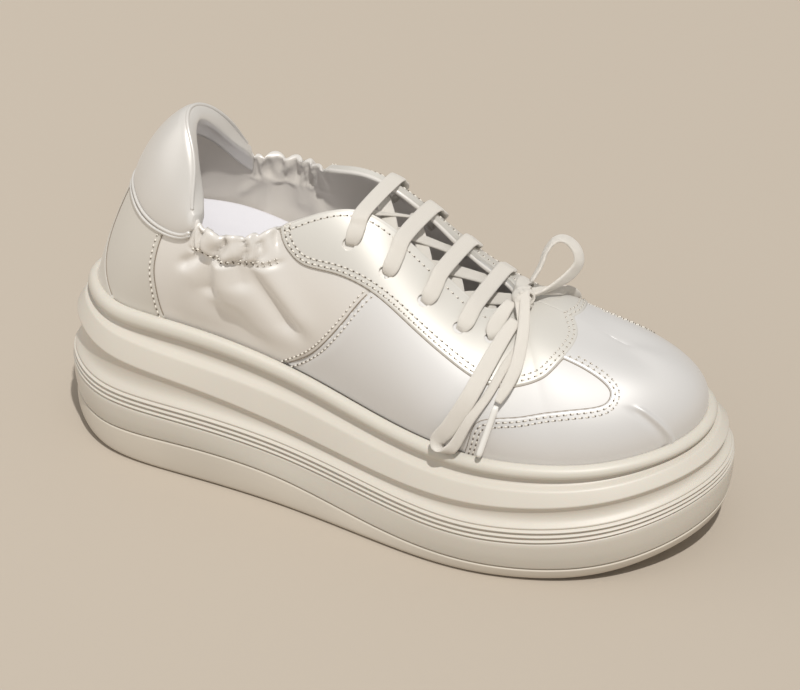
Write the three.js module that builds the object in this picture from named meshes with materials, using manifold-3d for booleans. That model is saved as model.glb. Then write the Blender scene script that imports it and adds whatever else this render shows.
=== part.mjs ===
// Platform sneaker, right shoe, women's size 38. Millimetres, +X heel to toe, +Y to the inner
// (medial) side of the foot, +Z up, standing on z = 0.
import * as THREE from 'three';
import { mergeVertices } from 'three/addons/utils/BufferGeometryUtils.js';
import Module from 'manifold-3d';

const wasm = await Module();
wasm.setup();

// ---- driving dimensions ---------------------------------------------------------------------
const GAP = 0.3;               // air between two pieces that meet
const WALL = 2.2;              // upper: leather and lining together
const SEAT_DEPTH = 6;          // how far the upper stands down inside the sole's bead
const SEAT_INSET = 11.9;       // from the sole's widest outline in to the bead's inner face
const EYELET_BORE = 4.6;
const LACE_WIDTH = 6.2;
const LACE_THICK = 1.3;
const GROOVE_DEPTH = 1.8;      // tread
const GROOVE_WIDTH = 3.2;

// The sole from above at eleven stations, heel tip to toe tip: x, outer side y, inner side y.
const OUTLINE = [
  [0, -1, -1], [6, -18, 16.5], [26, -33.5, 30], [60, -37.5, 34], [100, -38.5, 34.5],
  [140, -46, 39.5], [182, -53.5, 47], [222, -45.5, 46.5], [247, -29, 40], [260.5, -11, 26.5],
  [265, 8, 8],
];
// Heights of the sole's lines at those stations.
const BEAD_TOP = [65, 65, 65, 64.4, 57.5, 49.8, 48.2, 48.8, 50, 51, 51.5];
const LIP = [59, 59, 59, 58.6, 52, 44.8, 43.4, 44.2, 45.8, 47, 47.6];
const RIDGE_TOP = [56, 55.6, 54, 50.5, 44.5, 38.8, 38.3, 40.2, 42.8, 44.8, 45.4];
const RIDGE_LOW = [50, 49, 46, 42.5, 35.5, 31, 32.2, 35.6, 39, 41.2, 41.8];
const RIB_TOP = [32.6, 32.3, 31.8, 31.4, 28, 24.6, 24, 26.6, 30.4, 33.6, 34.6];
const RIB_LOW = [26.6, 26.3, 25.8, 25.4, 22, 18.6, 18, 20.6, 25, 28.6, 29.6];
const PARTING = [14, 13.5, 13.2, 14.4, 12.4, 7.4, 5.8, 7, 11, 15, 16.4];
const GROUND = [8.5, 5.2, 0.8, 0, 0, 0, 0, 1.2, 5.2, 9.2, 10.4];
// How far the parting line and the ground line stand out from the widest outline, each side.
const PARTING_OUT = [-1, -1, -1, -0.5, 0.8, 0.6, -1, -1.5, -1.2, -1, -1];
const PARTING_IN = [-1, -1, -1, -1, -1.5, -1.5, -1, -1.2, -1.2, -1, -1];
const GROUND_OUT = [-1, -1, -1, -0.6, 1.6, 1, -2, -3, -3, -2.6, -2.6];
const GROUND_IN = [-1, -1, -1.4, -2.5, -4, -3.6, -2.4, -2.6, -3, -2.6, -2.6];
// Top of the raised footbed at its edge, at the same stations.
const FOOTBED_TOP = [92, 92, 91, 87, 78, 66, 59, 57.5, 58, 58.5, 58.5];

// The upper at eighteen stations, heel centre to toe centre. place is where its foot stands along
// the sole's outline; x, half and z are its top line (collar, throat, then the middle of the
// vamp); the last four lean and lift the two handles of the wall's curve between them.
const UPPER = [
  // place, x, half, z, foot out, foot up, top out, top down
  [0.00, 51.0, 0.0, 141.0, -7, 25, 19, 15],
  [0.90, 53.0, 7.0, 138.5, -4.5, 25, 16, 15],
  [1.60, 57.0, 12.5, 132.5, -1, 24, 13, 15],
  [2.10, 60.5, 18.0, 124.0, 1, 22, 9, 15],
  [2.60, 63.0, 24.0, 115.0, 3, 20, 6, 14],
  [3.05, 67.5, 28.0, 110.8, 4, 19, 5, 14],
  [3.60, 83.0, 30.0, 111.5, 4, 20, 5, 15],
  [4.10, 97.5, 22.0, 115.8, 4, 22, 10, 17],
  [4.60, 112.0, 15.5, 121.2, 5, 24, 14, 13],
  [5.10, 128.0, 10.8, 120.6, 6, 24, 17, 9],
  [5.50, 145.5, 10.5, 108.8, 6, 22, 18, 8],
  [5.90, 160.0, 10.5, 96.2, 5, 20, 20, 7],
  [6.30, 174.0, 9.6, 87.4, 4, 18, 22, 5],
  [6.80, 184.0, 0.0, 88.0, 4, 16, 27, 0.6],
  [7.50, 199.0, 0.0, 85.0, 4, 15, 25, 0.3],
  [8.30, 212.0, 0.0, 80.8, 4, 14, 22, 0.2],
  [9.10, 220.0, 0.0, 77.4, 4, 13, 20, 0.1],
  [10.0, 222.5, 0.0, 76.4, 4, 13, 19, 0.1],
];
// The inner side of the vamp is flatter: this much off its top handles at the same stations.
const INNER_FLATTER = [0, 0, 0, 0, 0, 0, 0, 0, 0, 1, 2, 4, 6, 8, 8, 6, 3, 0];
const SPINE_START = 13;        // the station from which both sides meet over the vamp
const TAB_END = 4.5;           // the padded heel tab spans the stations up to this one, each side

// ---- smooth rows ----------------------------------------------------------------------------
// A closed cubic B-spline through the given numbers: its corners are moved until it passes them.
function closedCurve(values) {
  const count = values.length;
  const corner = [...values];
  for (let pass = 0; pass < 30; pass++) {
    const before = [...corner];
    for (let i = 0; i < count; i++) {
      const sides = before[(i + count - 1) % count] + before[(i + 1) % count];
      corner[i] += values[i] - (sides + 4 * before[i]) / 6;
    }
  }
  return (u) => {
    const cell = Math.floor(u);
    const f = u - cell;
    const at = (k) => corner[(((cell + k) % count) + count) % count];
    const a = at(-1) * (1 - f) ** 3;
    const b = at(0) * (3 * f ** 3 - 6 * f ** 2 + 4);
    const c = at(1) * (-3 * f ** 3 + 3 * f ** 2 + 3 * f + 1);
    const d = at(2) * f ** 3;
    return (a + b + c + d) / 6;
  };
}

// Heel to toe along the outer side and back along the inner side.
const around = (outer, inner = outer) => [...outer, ...inner.slice(1, -1).reverse()];
const levelCurve = (heights) => closedCurve(around(heights));
const column = (rows, k) => rows.map((row) => row[k]);

const soleX = closedCurve(around(column(OUTLINE, 0)));
const soleY = closedCurve(around(column(OUTLINE, 1), column(OUTLINE, 2)));
const SOLE_TURN = 2 * (OUTLINE.length - 1);

// A point of the sole's outline moved out by offset (in, when negative).
function soleEdge(u, offset) {
  const step = 0.01;
  const dx = soleX(u + step) - soleX(u - step);
  const dy = soleY(u + step) - soleY(u - step);
  const length = Math.hypot(dx, dy);
  const out = new THREE.Vector2(-dy / length, dx / length).multiplyScalar(-1);
  return { x: soleX(u) + out.x * offset, y: soleY(u) + out.y * offset, out };
}

// ---- closed meshes --------------------------------------------------------------------------
function meshFrom(points, triangles) {
  const geometry = new THREE.BufferGeometry();
  geometry.setAttribute('position', new THREE.Float32BufferAttribute(points.flat(), 3));
  geometry.setIndex(triangles.flat());
  return mergeVertices(geometry, 1e-4);
}

// Turns a closed mesh right side out when its volume comes out negative.
function facingOut(geometry) {
  const p = geometry.attributes.position.array;
  const index = geometry.index.array;
  let volume = 0;
  for (let i = 0; i < index.length; i += 3) {
    const [a, b, c] = [index[i] * 3, index[i + 1] * 3, index[i + 2] * 3];
    volume += p[a] * (p[b + 1] * p[c + 2] - p[b + 2] * p[c + 1])
      - p[a + 1] * (p[b] * p[c + 2] - p[b + 2] * p[c])
      + p[a + 2] * (p[b] * p[c + 1] - p[b + 1] * p[c]);
  }
  if (volume < 0) {
    for (let i = 0; i < index.length; i += 3) {
      [index[i + 1], index[i + 2]] = [index[i + 2], index[i + 1]];
    }
  }
  return geometry;
}

// Stacked rings of equal count, joined in order; the first and last are closed by rungs that
// run from the outer side straight across to the inner side.
function ringSolid(rings) {
  const count = rings[0].length;
  const triangles = [];
  for (let r = 0; r + 1 < rings.length; r++) {
    for (let i = 0; i < count; i++) {
      const a = r * count + i;
      const b = r * count + ((i + 1) % count);
      triangles.push([a, b, a + count], [b, b + count, a + count]);
    }
  }
  const last = (rings.length - 1) * count;
  const half = count / 2;
  for (let i = 0; i < half; i++) {
    const far = (count - i) % count;
    const quad = [i, i + 1, count - i - 1, far];
    for (const [base, flip] of [[0, false], [last, true]]) {
      const [a, b, c, d] = quad.map((k) => base + k);
      const pair = i === 0 ? [[a, b, c]] : i === half - 1 ? [[a, b, d]] : [[a, b, c], [a, c, d]];
      for (const t of pair) triangles.push(flip ? t : [t[0], t[2], t[1]]);
    }
  }
  return facingOut(meshFrom(rings.flat(), triangles));
}

// ---- solids for cutting and joining ---------------------------------------------------------
function toSolid(geometry) {
  const bare = new THREE.BufferGeometry();
  bare.setAttribute('position', geometry.attributes.position.clone());
  if (geometry.index) bare.setIndex(geometry.index.clone());
  const merged = mergeVertices(bare, 1e-4);
  return new wasm.Manifold(new wasm.Mesh({
    numProp: 3,
    vertProperties: new Float32Array(merged.attributes.position.array),
    triVerts: new Uint32Array(merged.index.array),
  }));
}

function toGeometry(solid) {
  const mesh = solid.getMesh();
  const geometry = new THREE.BufferGeometry();
  geometry.setAttribute('position', new THREE.BufferAttribute(mesh.vertProperties, 3));
  geometry.setIndex(new THREE.BufferAttribute(mesh.triVerts, 1));
  return geometry;
}

// ---- sole -----------------------------------------------------------------------------------
const SOLE_STEPS = SOLE_TURN * 3;
const bead = levelCurve(BEAD_TOP);
const lip = levelCurve(LIP);
const ridgeTop = levelCurve(RIDGE_TOP);
const ridgeLow = levelCurve(RIDGE_LOW);
const ribTop = levelCurve(RIB_TOP);
const ribLow = levelCurve(RIB_LOW);
const parting = levelCurve(PARTING);
const ground = levelCurve(GROUND);
const partingEdge = closedCurve(around(PARTING_OUT, PARTING_IN));
const groundEdge = closedCurve(around(GROUND_OUT, GROUND_IN));
const seatHeight = (u) => bead(u) - SEAT_DEPTH;

// One ring of the sole: offset from the widest outline, at a height that follows the stations.
function soleRing(offset, height) {
  return Array.from({ length: SOLE_STEPS }, (_, i) => {
    const u = (i * SOLE_TURN) / SOLE_STEPS;
    const edge = soleEdge(u, typeof offset === 'number' ? offset : offset(u));
    return [edge.x, edge.y, height(u)];
  });
}
const between = (low, high, part) => (u) => low(u) + (high(u) - low(u)) * part;

function midsole() {
  return ringSolid([
    soleRing(-SEAT_INSET, seatHeight),
    soleRing(-SEAT_INSET, (u) => bead(u) - 1.2),
    soleRing(-10.4, bead),
    soleRing(-8.2, (u) => bead(u) - 1.4),
    soleRing(-7.2, between(lip, bead, 0.45)),
    soleRing(-7.6, lip),
    soleRing(-8.8, (u) => lip(u) - 0.8),
    soleRing(-8.9, between(ridgeTop, lip, 0.35)),
    soleRing(-5.6, ridgeTop),
    soleRing(-2.6, ridgeLow),
    soleRing(-3.6, between(ribTop, ridgeLow, 0.7)),
    soleRing(-3.4, between(ribTop, ridgeLow, 0.3)),
    soleRing(-0.5, ribTop),
    soleRing(0, ribLow),
    soleRing((u) => partingEdge(u) * 0.4 - 0.1, between(parting, ribLow, 0.45)),
    soleRing(partingEdge, (u) => parting(u) + GAP),
  ]);
}

function grooveBar(x, yFrom, yTo, slant) {
  const length = Math.abs(yTo - yFrom);
  const bar = new THREE.BoxGeometry(GROOVE_WIDTH, length, 2 * GROOVE_DEPTH);
  bar.rotateZ(slant);
  bar.translate(x, (yFrom + yTo) / 2, 0);
  return toSolid(bar);
}

function outsole() {
  let solid = toSolid(ringSolid([
    soleRing(partingEdge, parting),
    soleRing((u) => groundEdge(u) * 0.8 + partingEdge(u) * 0.2, between(ground, parting, 0.4)),
    soleRing(groundEdge, (u) => ground(u) + 1.2),
    soleRing((u) => groundEdge(u) - 1.5, ground),
  ]));
  const slant = 0.22;
  for (const x of [44, 58, 72, 150, 164, 178, 192]) {
    const reach = x < 100 ? 24 : 32;
    solid = solid.subtract(grooveBar(x, -reach, -2.5, slant));
    solid = solid.subtract(grooveBar(x, 2.5, reach, -slant));
  }
  return toGeometry(solid);
}

// ---- upper ----------------------------------------------------------------------------------
const UPPER_TURN = 2 * (UPPER.length - 1);
const UPPER_STEPS = UPPER_TURN * 2;
const UPPER_ROWS = 10;
const mirrored = (k, sign) => column(UPPER, k).map((value) => sign * value);
const placeLap = [
  ...column(UPPER, 0),
  ...column(UPPER, 0).slice(1, -1).reverse().map((place) => SOLE_TURN - place),
];
// place grows by a whole turn each lap, so only its departure from an even pace is smoothed.
const pace = SOLE_TURN / UPPER_TURN;
const placeShift = closedCurve(placeLap.map((place, i) => place - i * pace));
const topX = closedCurve(around(column(UPPER, 1)));
const topHalf = closedCurve(around(mirrored(2, -1), mirrored(2, 1)));
const topZ = closedCurve(around(column(UPPER, 3)));
const footOut = closedCurve(around(column(UPPER, 4)));
const footUp = closedCurve(around(column(UPPER, 5)));
const innerTopOut = column(UPPER, 6).map((value, k) => value - INNER_FLATTER[k]);
const topOut = closedCurve(around(column(UPPER, 6), innerTopOut));
const topDown = closedCurve(around(column(UPPER, 7)));

// The last turns inward: its middle line drifts to the inner side from the instep to the toe.
const TURN_START = 95;
const TURN_AT_TOE = 5.5;
function middle(x) {
  const part = Math.max(0, (x - TURN_START) / (222 - TURN_START));
  return TURN_AT_TOE * part * part * (3 - 2 * part) * 0.9 + TURN_AT_TOE * 0.1 * part;
}

// The outside of the upper: s runs round the foot in stations, v from the bead to the top line.
function upperPoint(s, v) {
  const place = s * pace + placeShift(s);
  const edge = soleEdge(place, -SEAT_INSET - 1.5 * GAP);
  const foot = new THREE.Vector3(edge.x, edge.y, bead(place) - 1.2);
  const out = new THREE.Vector3(edge.out.x, edge.out.y, 0);
  const onSpine = Math.abs(s - UPPER_TURN / 2) < UPPER_TURN / 2 - SPINE_START + 1e-6;
  const half = onSpine ? 0 : topHalf(s);
  const top = new THREE.Vector3(topX(s), middle(topX(s)) + half, topZ(s));
  const low = foot.clone().addScaledVector(out, footOut(s));
  low.z += footUp(s);
  const high = top.clone().addScaledVector(out, topOut(s));
  high.z -= topDown(s);
  return new THREE.CubicBezierCurve3(foot, low, high, top).getPoint(v);
}

function upperNormal(s, v) {
  const step = 0.02;
  const vLow = Math.max(0, v - step);
  const vHigh = Math.min(1, v + step);
  const along = upperPoint(s + step, v).sub(upperPoint(s - step, v));
  const rise = upperPoint(s, vHigh).sub(upperPoint(s, vLow));
  return along.cross(rise).normalize();
}

// Both skins of the upper and the strips that close its foot and its top line. Over the vamp the
// two sides share the points of the middle line.
function upperShell() {
  const half = UPPER_STEPS / 2;
  const stationAt = (i) => (i * UPPER_TURN) / UPPER_STEPS;
  const meets = (i) => Math.abs(stationAt(i) - UPPER_TURN / 2) <= UPPER_TURN / 2 - SPINE_START + 1e-6;
  const rowCount = UPPER_ROWS + 1;
  const outer = [];
  for (let i = 0; i < UPPER_STEPS; i++) {
    const rim = upperPoint(stationAt(i), 0);
    const seat = rim.clone().setZ(rim.z - SEAT_DEPTH + 1.2 + GAP);
    outer.push(seat);
    for (let j = 1; j < rowCount; j++) {
      outer.push(upperPoint(stationAt(i), (j - 1) / (UPPER_ROWS - 1)));
    }
  }
  const slot = (i, j) => {
    const column = ((i % UPPER_STEPS) + UPPER_STEPS) % UPPER_STEPS;
    const twin = j === UPPER_ROWS && meets(column) && column > half ? UPPER_STEPS - column : column;
    return twin * rowCount + j;
  };
  const skin = [];
  for (let i = 0; i < UPPER_STEPS; i++) {
    for (let j = 0; j < UPPER_ROWS; j++) {
      const [a, b, c, d] = [slot(i, j), slot(i + 1, j), slot(i + 1, j + 1), slot(i, j + 1)];
      if (a !== b && b !== c && a !== c) skin.push([a, b, c]);
      if (a !== c && c !== d && a !== d) skin.push([a, c, d]);
    }
  }
  const normals = outer.map(() => new THREE.Vector3());
  for (const [a, b, c] of skin) {
    const face = new THREE.Vector3().crossVectors(
      outer[b].clone().sub(outer[a]), outer[c].clone().sub(outer[a]));
    for (const k of [a, b, c]) normals[k].add(face);
  }
  const inner = outer.map((point, k) => {
    const normal = normals[k].clone();
    if (k % rowCount < 2) normal.z = 0;
    return point.clone().addScaledVector(normal.normalize(), -WALL);
  });
  const shift = outer.length;
  const triangles = [...skin, ...skin.map(([a, b, c]) => [a + shift, c + shift, b + shift])];
  for (let i = 0; i < UPPER_STEPS; i++) {
    const [a, b] = [slot(i, 0), slot(i + 1, 0)];
    triangles.push([a, a + shift, b], [b, a + shift, b + shift]);
    if (meets(i) && meets((i + 1) % UPPER_STEPS)) continue;
    const [c, d] = [slot(i, UPPER_ROWS), slot(i + 1, UPPER_ROWS)];
    triangles.push([c, d, c + shift], [d, d + shift, c + shift]);
  }
  const points = [...outer, ...inner].map((point) => point.toArray());
  return facingOut(meshFrom(points, triangles));
}

// Eyelets: five rows on each side of the throat, row 0 nearest the ankle: station and height on
// the outer side. The inner ones stand a little nearer the toe and the edge.
const EYELET_ROWS = [[8.7, 0.8], [9.5, 0.75], [10.4, 0.77], [11.3, 0.78], [12.1, 0.8]];
const INNER_STEP = 0.2;
const INNER_RISE = 0.02;
const onUpper = (s, v, lift) => upperPoint(s, v).addScaledVector(upperNormal(s, v), lift);

// Station and height of an eyelet; side is -1 on the outer side and 1 on the inner side.
function eyeletPlace(row, side) {
  const [s, v] = EYELET_ROWS[row];
  return side < 0 ? [s, v] : [UPPER_TURN - s - INNER_STEP, v + INNER_RISE];
}

function eyelet(row, side) {
  const [s, v] = eyeletPlace(row, side);
  return { at: upperPoint(s, v), normal: upperNormal(s, v) };
}

function turnedAlong(geometry, direction) {
  const turn = new THREE.Quaternion().setFromUnitVectors(new THREE.Vector3(0, 1, 0), direction);
  return geometry.applyQuaternion(turn);
}

function upper() {
  let solid = toSolid(upperShell());
  for (let row = 0; row < EYELET_ROWS.length; row++) {
    for (const side of [-1, 1]) {
      const { at, normal } = eyelet(row, side);
      const bore = new THREE.CylinderGeometry(EYELET_BORE / 2, EYELET_BORE / 2, 6 * WALL, 10);
      turnedAlong(bore, normal).translate(at.x, at.y, at.z);
      solid = solid.subtract(toSolid(bore));
    }
  }
  return toGeometry(solid);
}

function heightToV(s, z) {
  let [low, high] = [0, 1];
  for (let step = 0; step < 24; step++) {
    const v = (low + high) / 2;
    if (upperPoint(s, v).z < z) low = v;
    else high = v;
  }
  return (low + high) / 2;
}

// ---- insole ---------------------------------------------------------------------------------
// The sock and the footbed under it are one piece that fills the upper up to its top, standing
// clear of the upper's inside wall all round.
const footbedTop = levelCurve(FOOTBED_TOP);
const FOOTBED_GAP = 0.9;

function insole() {
  const columns = Array.from({ length: UPPER_STEPS }, (_, i) => (i * UPPER_TURN) / UPPER_STEPS);
  const placeOf = (s) => s * pace + placeShift(s);
  const ring = (point) => columns.map((s) => point(s).toArray());
  const foot = (s) => soleEdge(placeOf(s), -SEAT_INSET - 1.5 * GAP - WALL - FOOTBED_GAP);
  const level = (s, z) => {
    const edge = foot(s);
    return new THREE.Vector3(edge.x, edge.y, z);
  };
  const atWall = (s, part) => {
    const start = bead(placeOf(s)) - 1.2;
    const z = start + (footbedTop(placeOf(s)) - start) * part;
    return onUpper(s, heightToV(s, z), -WALL - FOOTBED_GAP);
  };
  // inward from the edge of the top, level with it, then a little lower in the middle
  const onTop = (s, inward, drop) => {
    const edge = atWall(s, 1);
    const { out } = foot(s);
    return edge.add(new THREE.Vector3(-out.x * inward, -out.y * inward, -drop));
  };
  return ringSolid([
    ring((s) => level(s, seatHeight(placeOf(s)) + GAP)),
    ring((s) => atWall(s, 0)),
    ring((s) => atWall(s, 1)),
    ring((s) => onTop(s, 3, 0.6)),
    ring((s) => onTop(s, 10, 2)),
  ]);
}

// ---- padded heel tab ------------------------------------------------------------------------
const TAB_SEAM_BACK = 111.5;   // its lower seam at the back, and where it dips lowest each side
const TAB_SEAM_DIP = 103.5;
const TAB_DIP_AT = 3.2;
const PAD_THICK = 4;
const PAD_INSIDE = 1.8;
const TAB_STEPS = 18;          // one each half station, like the upper's own columns
const TAB_GAP = 0.7;          // off the upper's outside, and off its top edge and lining below
const TAB_GAP_INSIDE = 1;

function tabSeamHeight(s) {
  const part = Math.abs(s);
  if (part > TAB_DIP_AT) return TAB_SEAM_DIP + 3 * (part - TAB_DIP_AT) ** 2;
  const fall = Math.cos((part / TAB_DIP_AT) * Math.PI) * 0.5 + 0.5;
  return TAB_SEAM_DIP + (TAB_SEAM_BACK - TAB_SEAM_DIP) * fall;
}

// The tab's section at one station: the proud skin and the skin that lies along the upper, from
// the lower seam up the outside, over the top line and a little way down the inside.
function tabSection(s) {
  const seam = heightToV(s, tabSeamHeight(s));
  const fade = Math.sqrt(Math.max(0, 1 - (Math.abs(s) / (TAB_END + 0.15)) ** 4));
  const proud = [];
  const close = [];
  const outsideRows = 6;
  for (let k = 0; k <= outsideRows; k++) {
    const part = k / outsideRows;
    const v = seam + (0.995 - seam) * part;
    const swell = 0.9 + (PAD_THICK - 0.9) * Math.sin(Math.PI * Math.min(1, part * 0.75 + 0.02)) ** 0.6;
    proud.push(onUpper(s, v, TAB_GAP + swell * (0.35 + 0.65 * fade)));
    close.push(onUpper(s, v, TAB_GAP));
  }
  const rim = upperPoint(s, 1).sub(upperPoint(s, 0.97)).normalize();
  for (const [depth, rise] of [[-0.2, 2], [0.5, 2.5], [1, 2]]) {
    const lift = -depth * WALL;
    proud.push(onUpper(s, 1, lift * 1.2).addScaledVector(rim, TAB_GAP_INSIDE + rise));
    const across = { '-0.2': TAB_GAP, 0.5: lift, 1: lift - TAB_GAP_INSIDE }[depth];
    close.push(onUpper(s, 1, across).addScaledVector(rim, TAB_GAP_INSIDE));
  }
  for (let k = 0; k <= 4; k++) {
    const v = 0.995 - (0.05 * k);
    proud.push(onUpper(s, v, -WALL - TAB_GAP_INSIDE - PAD_INSIDE * (1 - 0.12 * k)));
    close.push(onUpper(s, v, -WALL - TAB_GAP_INSIDE));
  }
  return { proud, close };
}

function heelCollar() {
  const points = [];
  const triangles = [];
  let count = 0;
  for (let i = 0; i <= TAB_STEPS; i++) {
    const { proud, close } = tabSection(-TAB_END + (2 * TAB_END * i) / TAB_STEPS);
    count = proud.length * 2;
    points.push(...proud, ...close.reverse());
  }
  for (let i = 0; i < TAB_STEPS; i++) {
    for (let k = 0; k < count; k++) {
      const a = i * count + k;
      const b = i * count + ((k + 1) % count);
      triangles.push([a, b, a + count], [b, b + count, a + count]);
    }
  }
  for (let k = 0; k < count / 2 - 1; k++) {
    for (const [base, flip] of [[0, false], [TAB_STEPS * count, true]]) {
      const [a, b, c, d] = [base + k, base + k + 1, base + count - k - 2, base + count - k - 1];
      triangles.push(flip ? [a, b, c] : [a, c, b], flip ? [a, c, d] : [a, d, c]);
    }
  }
  return facingOut(meshFrom(points.map((point) => point.toArray()), triangles));
}

// ---- laces ----------------------------------------------------------------------------------
const BORE_WIDTH = 2.8;        // the lace is pinched where it goes through an eyelet
const BAR_LIFT = 1.7;
const UNDER_LIFT = -(WALL + 2);

// A flat ribbon through stations of { at, across, width }; across points along its width.
function ribbon(stations) {
  const points = [];
  const triangles = [];
  const section = [[-0.5, 0], [-0.4, -0.5], [0.4, -0.5], [0.5, 0], [0.4, 0.5], [-0.4, 0.5]];
  const count = section.length;
  stations.forEach(({ at, across, width }, i) => {
    const before = stations[Math.max(0, i - 1)].at;
    const after = stations[Math.min(stations.length - 1, i + 1)].at;
    const along = after.clone().sub(before).normalize();
    const side = across.clone().addScaledVector(along, -across.dot(along)).normalize();
    const up = along.clone().cross(side);
    for (const [x, y] of section) {
      const point = at.clone().addScaledVector(side, x * width).addScaledVector(up, y * LACE_THICK);
      points.push(point.toArray());
    }
  });
  for (let i = 0; i + 1 < stations.length; i++) {
    for (let k = 0; k < count; k++) {
      const [a, b] = [i * count + k, i * count + ((k + 1) % count)];
      triangles.push([a, b, a + count], [b, b + count, a + count]);
    }
  }
  const end = (stations.length - 1) * count;
  for (let k = 1; k + 1 < count; k++) triangles.push([0, k + 1, k], [end, end + k, end + k + 1]);
  return toSolid(facingOut(meshFrom(points, triangles)));
}

// Towards the toe along the surface, on either side of the throat.
function toeward(s, v) {
  const along = upperPoint(s + 0.1, v).sub(upperPoint(s - 0.1, v)).normalize();
  return s < UPPER_TURN / 2 ? along : along.negate();
}

// The station at which the line between a row's two eyelets, seen from above, crosses height v.
function straightAcross(row, side, v) {
  const from = upperPoint(...eyeletPlace(row, -1));
  const to = upperPoint(...eyeletPlace(row, 1));
  const beside = (s) => {
    const at = upperPoint(s, v);
    return (to.x - from.x) * (at.y - from.y) - (to.y - from.y) * (at.x - from.x);
  };
  const [start] = eyeletPlace(row, side);
  let [low, high] = [start - 1.5, start + 1.5];
  const sign = Math.sign(beside(low));
  for (let step = 0; step < 30; step++) {
    const s = (low + high) / 2;
    if (Math.sign(beside(s)) === sign) low = s;
    else high = s;
  }
  return (low + high) / 2;
}

// From the inside of an eyelet out through its bore and straight over to the throat's edge.
function outThroughEyelet(row, side) {
  const [s, v] = eyeletPlace(row, side);
  const across = toeward(s, v);
  const stops = [
    [v, UNDER_LIFT, BORE_WIDTH], [v, 0, BORE_WIDTH], [v + 0.015, BAR_LIFT * 0.75, 0.8 * LACE_WIDTH],
    [v + 0.06, BAR_LIFT, LACE_WIDTH], [v + (1 - v) * 0.6, BAR_LIFT, LACE_WIDTH],
    [1, BAR_LIFT, LACE_WIDTH],
  ];
  return stops.map(([height, lift, width], k) => {
    const place = k < 3 || row > 3 ? s : straightAcross(row, side, height);
    return { at: onUpper(place, height, lift), across, width };
  });
}

function laceBar(row) {
  return ribbon([...outThroughEyelet(row, -1), ...outThroughEyelet(row, 1).reverse()]);
}

// Under the throat, slanting from one eyelet to the next row's eyelet on the other side.
function underStrand(row, side) {
  const [s, v] = eyeletPlace(row, side);
  const [farS, farV] = eyeletPlace(row + 1, -side);
  const stops = [onUpper(s, v, UNDER_LIFT), onUpper(s, 1, UNDER_LIFT),
    onUpper(farS, 1, UNDER_LIFT), onUpper(farS, farV, UNDER_LIFT)];
  const widths = [BORE_WIDTH, LACE_WIDTH * 0.9, LACE_WIDTH * 0.9, BORE_WIDTH];
  const across = toeward(s, v);
  return ribbon(stops.map((at, k) => ({ at, across, width: widths[k] })));
}

const KNOT = new THREE.Vector3(184, 0, 92.6);
const KNOT_SIZE = [6.5, 5.5, 4.5];

// The last row comes up through its eyelets and runs over the vamp to the knot.
function strandToKnot(side) {
  const risen = outThroughEyelet(4, side).slice(0, 4);
  const from = risen[risen.length - 1].at;
  const stop = KNOT.clone().add(new THREE.Vector3(-3, side * 6.6, -0.5));
  const half = from.clone().lerp(stop, 0.5);
  half.z += 0.8;
  const across = risen[0].across;
  return ribbon([...risen, { at: half, across, width: LACE_WIDTH * 0.8 },
    { at: stop, across, width: LACE_WIDTH * 0.6 }]);
}

function laceRun() {
  let solid = laceBar(0);
  for (let row = 1; row < 4; row++) solid = solid.add(laceBar(row));
  for (let row = 0; row < 4; row++) {
    for (const side of [-1, 1]) solid = solid.add(underStrand(row, side));
  }
  for (const side of [-1, 1]) solid = solid.add(strandToKnot(side));
  return toGeometry(solid);
}

function knot() {
  const ball = new THREE.SphereGeometry(1, 14, 8);
  ball.scale(...KNOT_SIZE);
  ball.translate(KNOT.x, KNOT.y, KNOT.z);
  ball.deleteAttribute('normal');
  ball.deleteAttribute('uv');
  return mergeVertices(ball, 1e-4);
}

// The bow's loops and ends as a row of points each; the flat lace is a plain slim tube here.
const CORD_RADIUS = 1.2;
const vector = (x, y, z) => new THREE.Vector3(x, y, z);
const LOOP_UP = [
  vector(185, 7, 95), vector(187, 11, 100), vector(188, 14.5, 105), vector(190.5, 17.5, 108.5),
  vector(194.5, 18.5, 109), vector(198.5, 18.5, 105.5), vector(200, 17, 101),
  vector(198, 14, 97.2), vector(194.5, 10, 94.6), vector(191, 6.5, 93),
];
const LOOP_SIDE = [
  [12.75, 0.83, 4.5], [12.35, 0.74, 4.2], [11.9, 0.6, 4], [11.4, 0.4, 4], [10.8, 0.2, 3.6],
  [10.45, 0.1, 4.4], [10.55, 0.05, 5.2], [10.85, 0.1, 5.2], [11.35, 0.28, 3.6],
  [11.9, 0.46, 2.6], [12.4, 0.62, 2.4], [12.85, 0.74, 2.4],
].map(([s, v, lift]) => onUpper(s, v, lift));
const END_LONG = [
  [12.95, 0.82, 6], [12.85, 0.72, 5.4], [12.65, 0.6, 5], [12.35, 0.5, 5], [12.1, 0.42, 5],
].map(([s, v, lift]) => onUpper(s, v, lift));
// The short end hangs down the inner side.
const END_SHORT = [
  [20.6, 0.86, 3.6], [20.7, 0.76, 2.8], [20.95, 0.64, 2.8], [21.2, 0.54, 3], [21.45, 0.45, 3.2],
].map(([s, v, lift]) => onUpper(s, v, lift));
const AGLET_LONG = [[12.06, 0.4, 5], [11.45, 0.07, 4.4]].map(([s, v, lift]) => onUpper(s, v, lift));
const AGLET_SHORT = [[21.5, 0.43, 3.2], [21.95, 0.16, 3.6]].map(
  ([s, v, lift]) => onUpper(s, v, lift));

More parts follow.
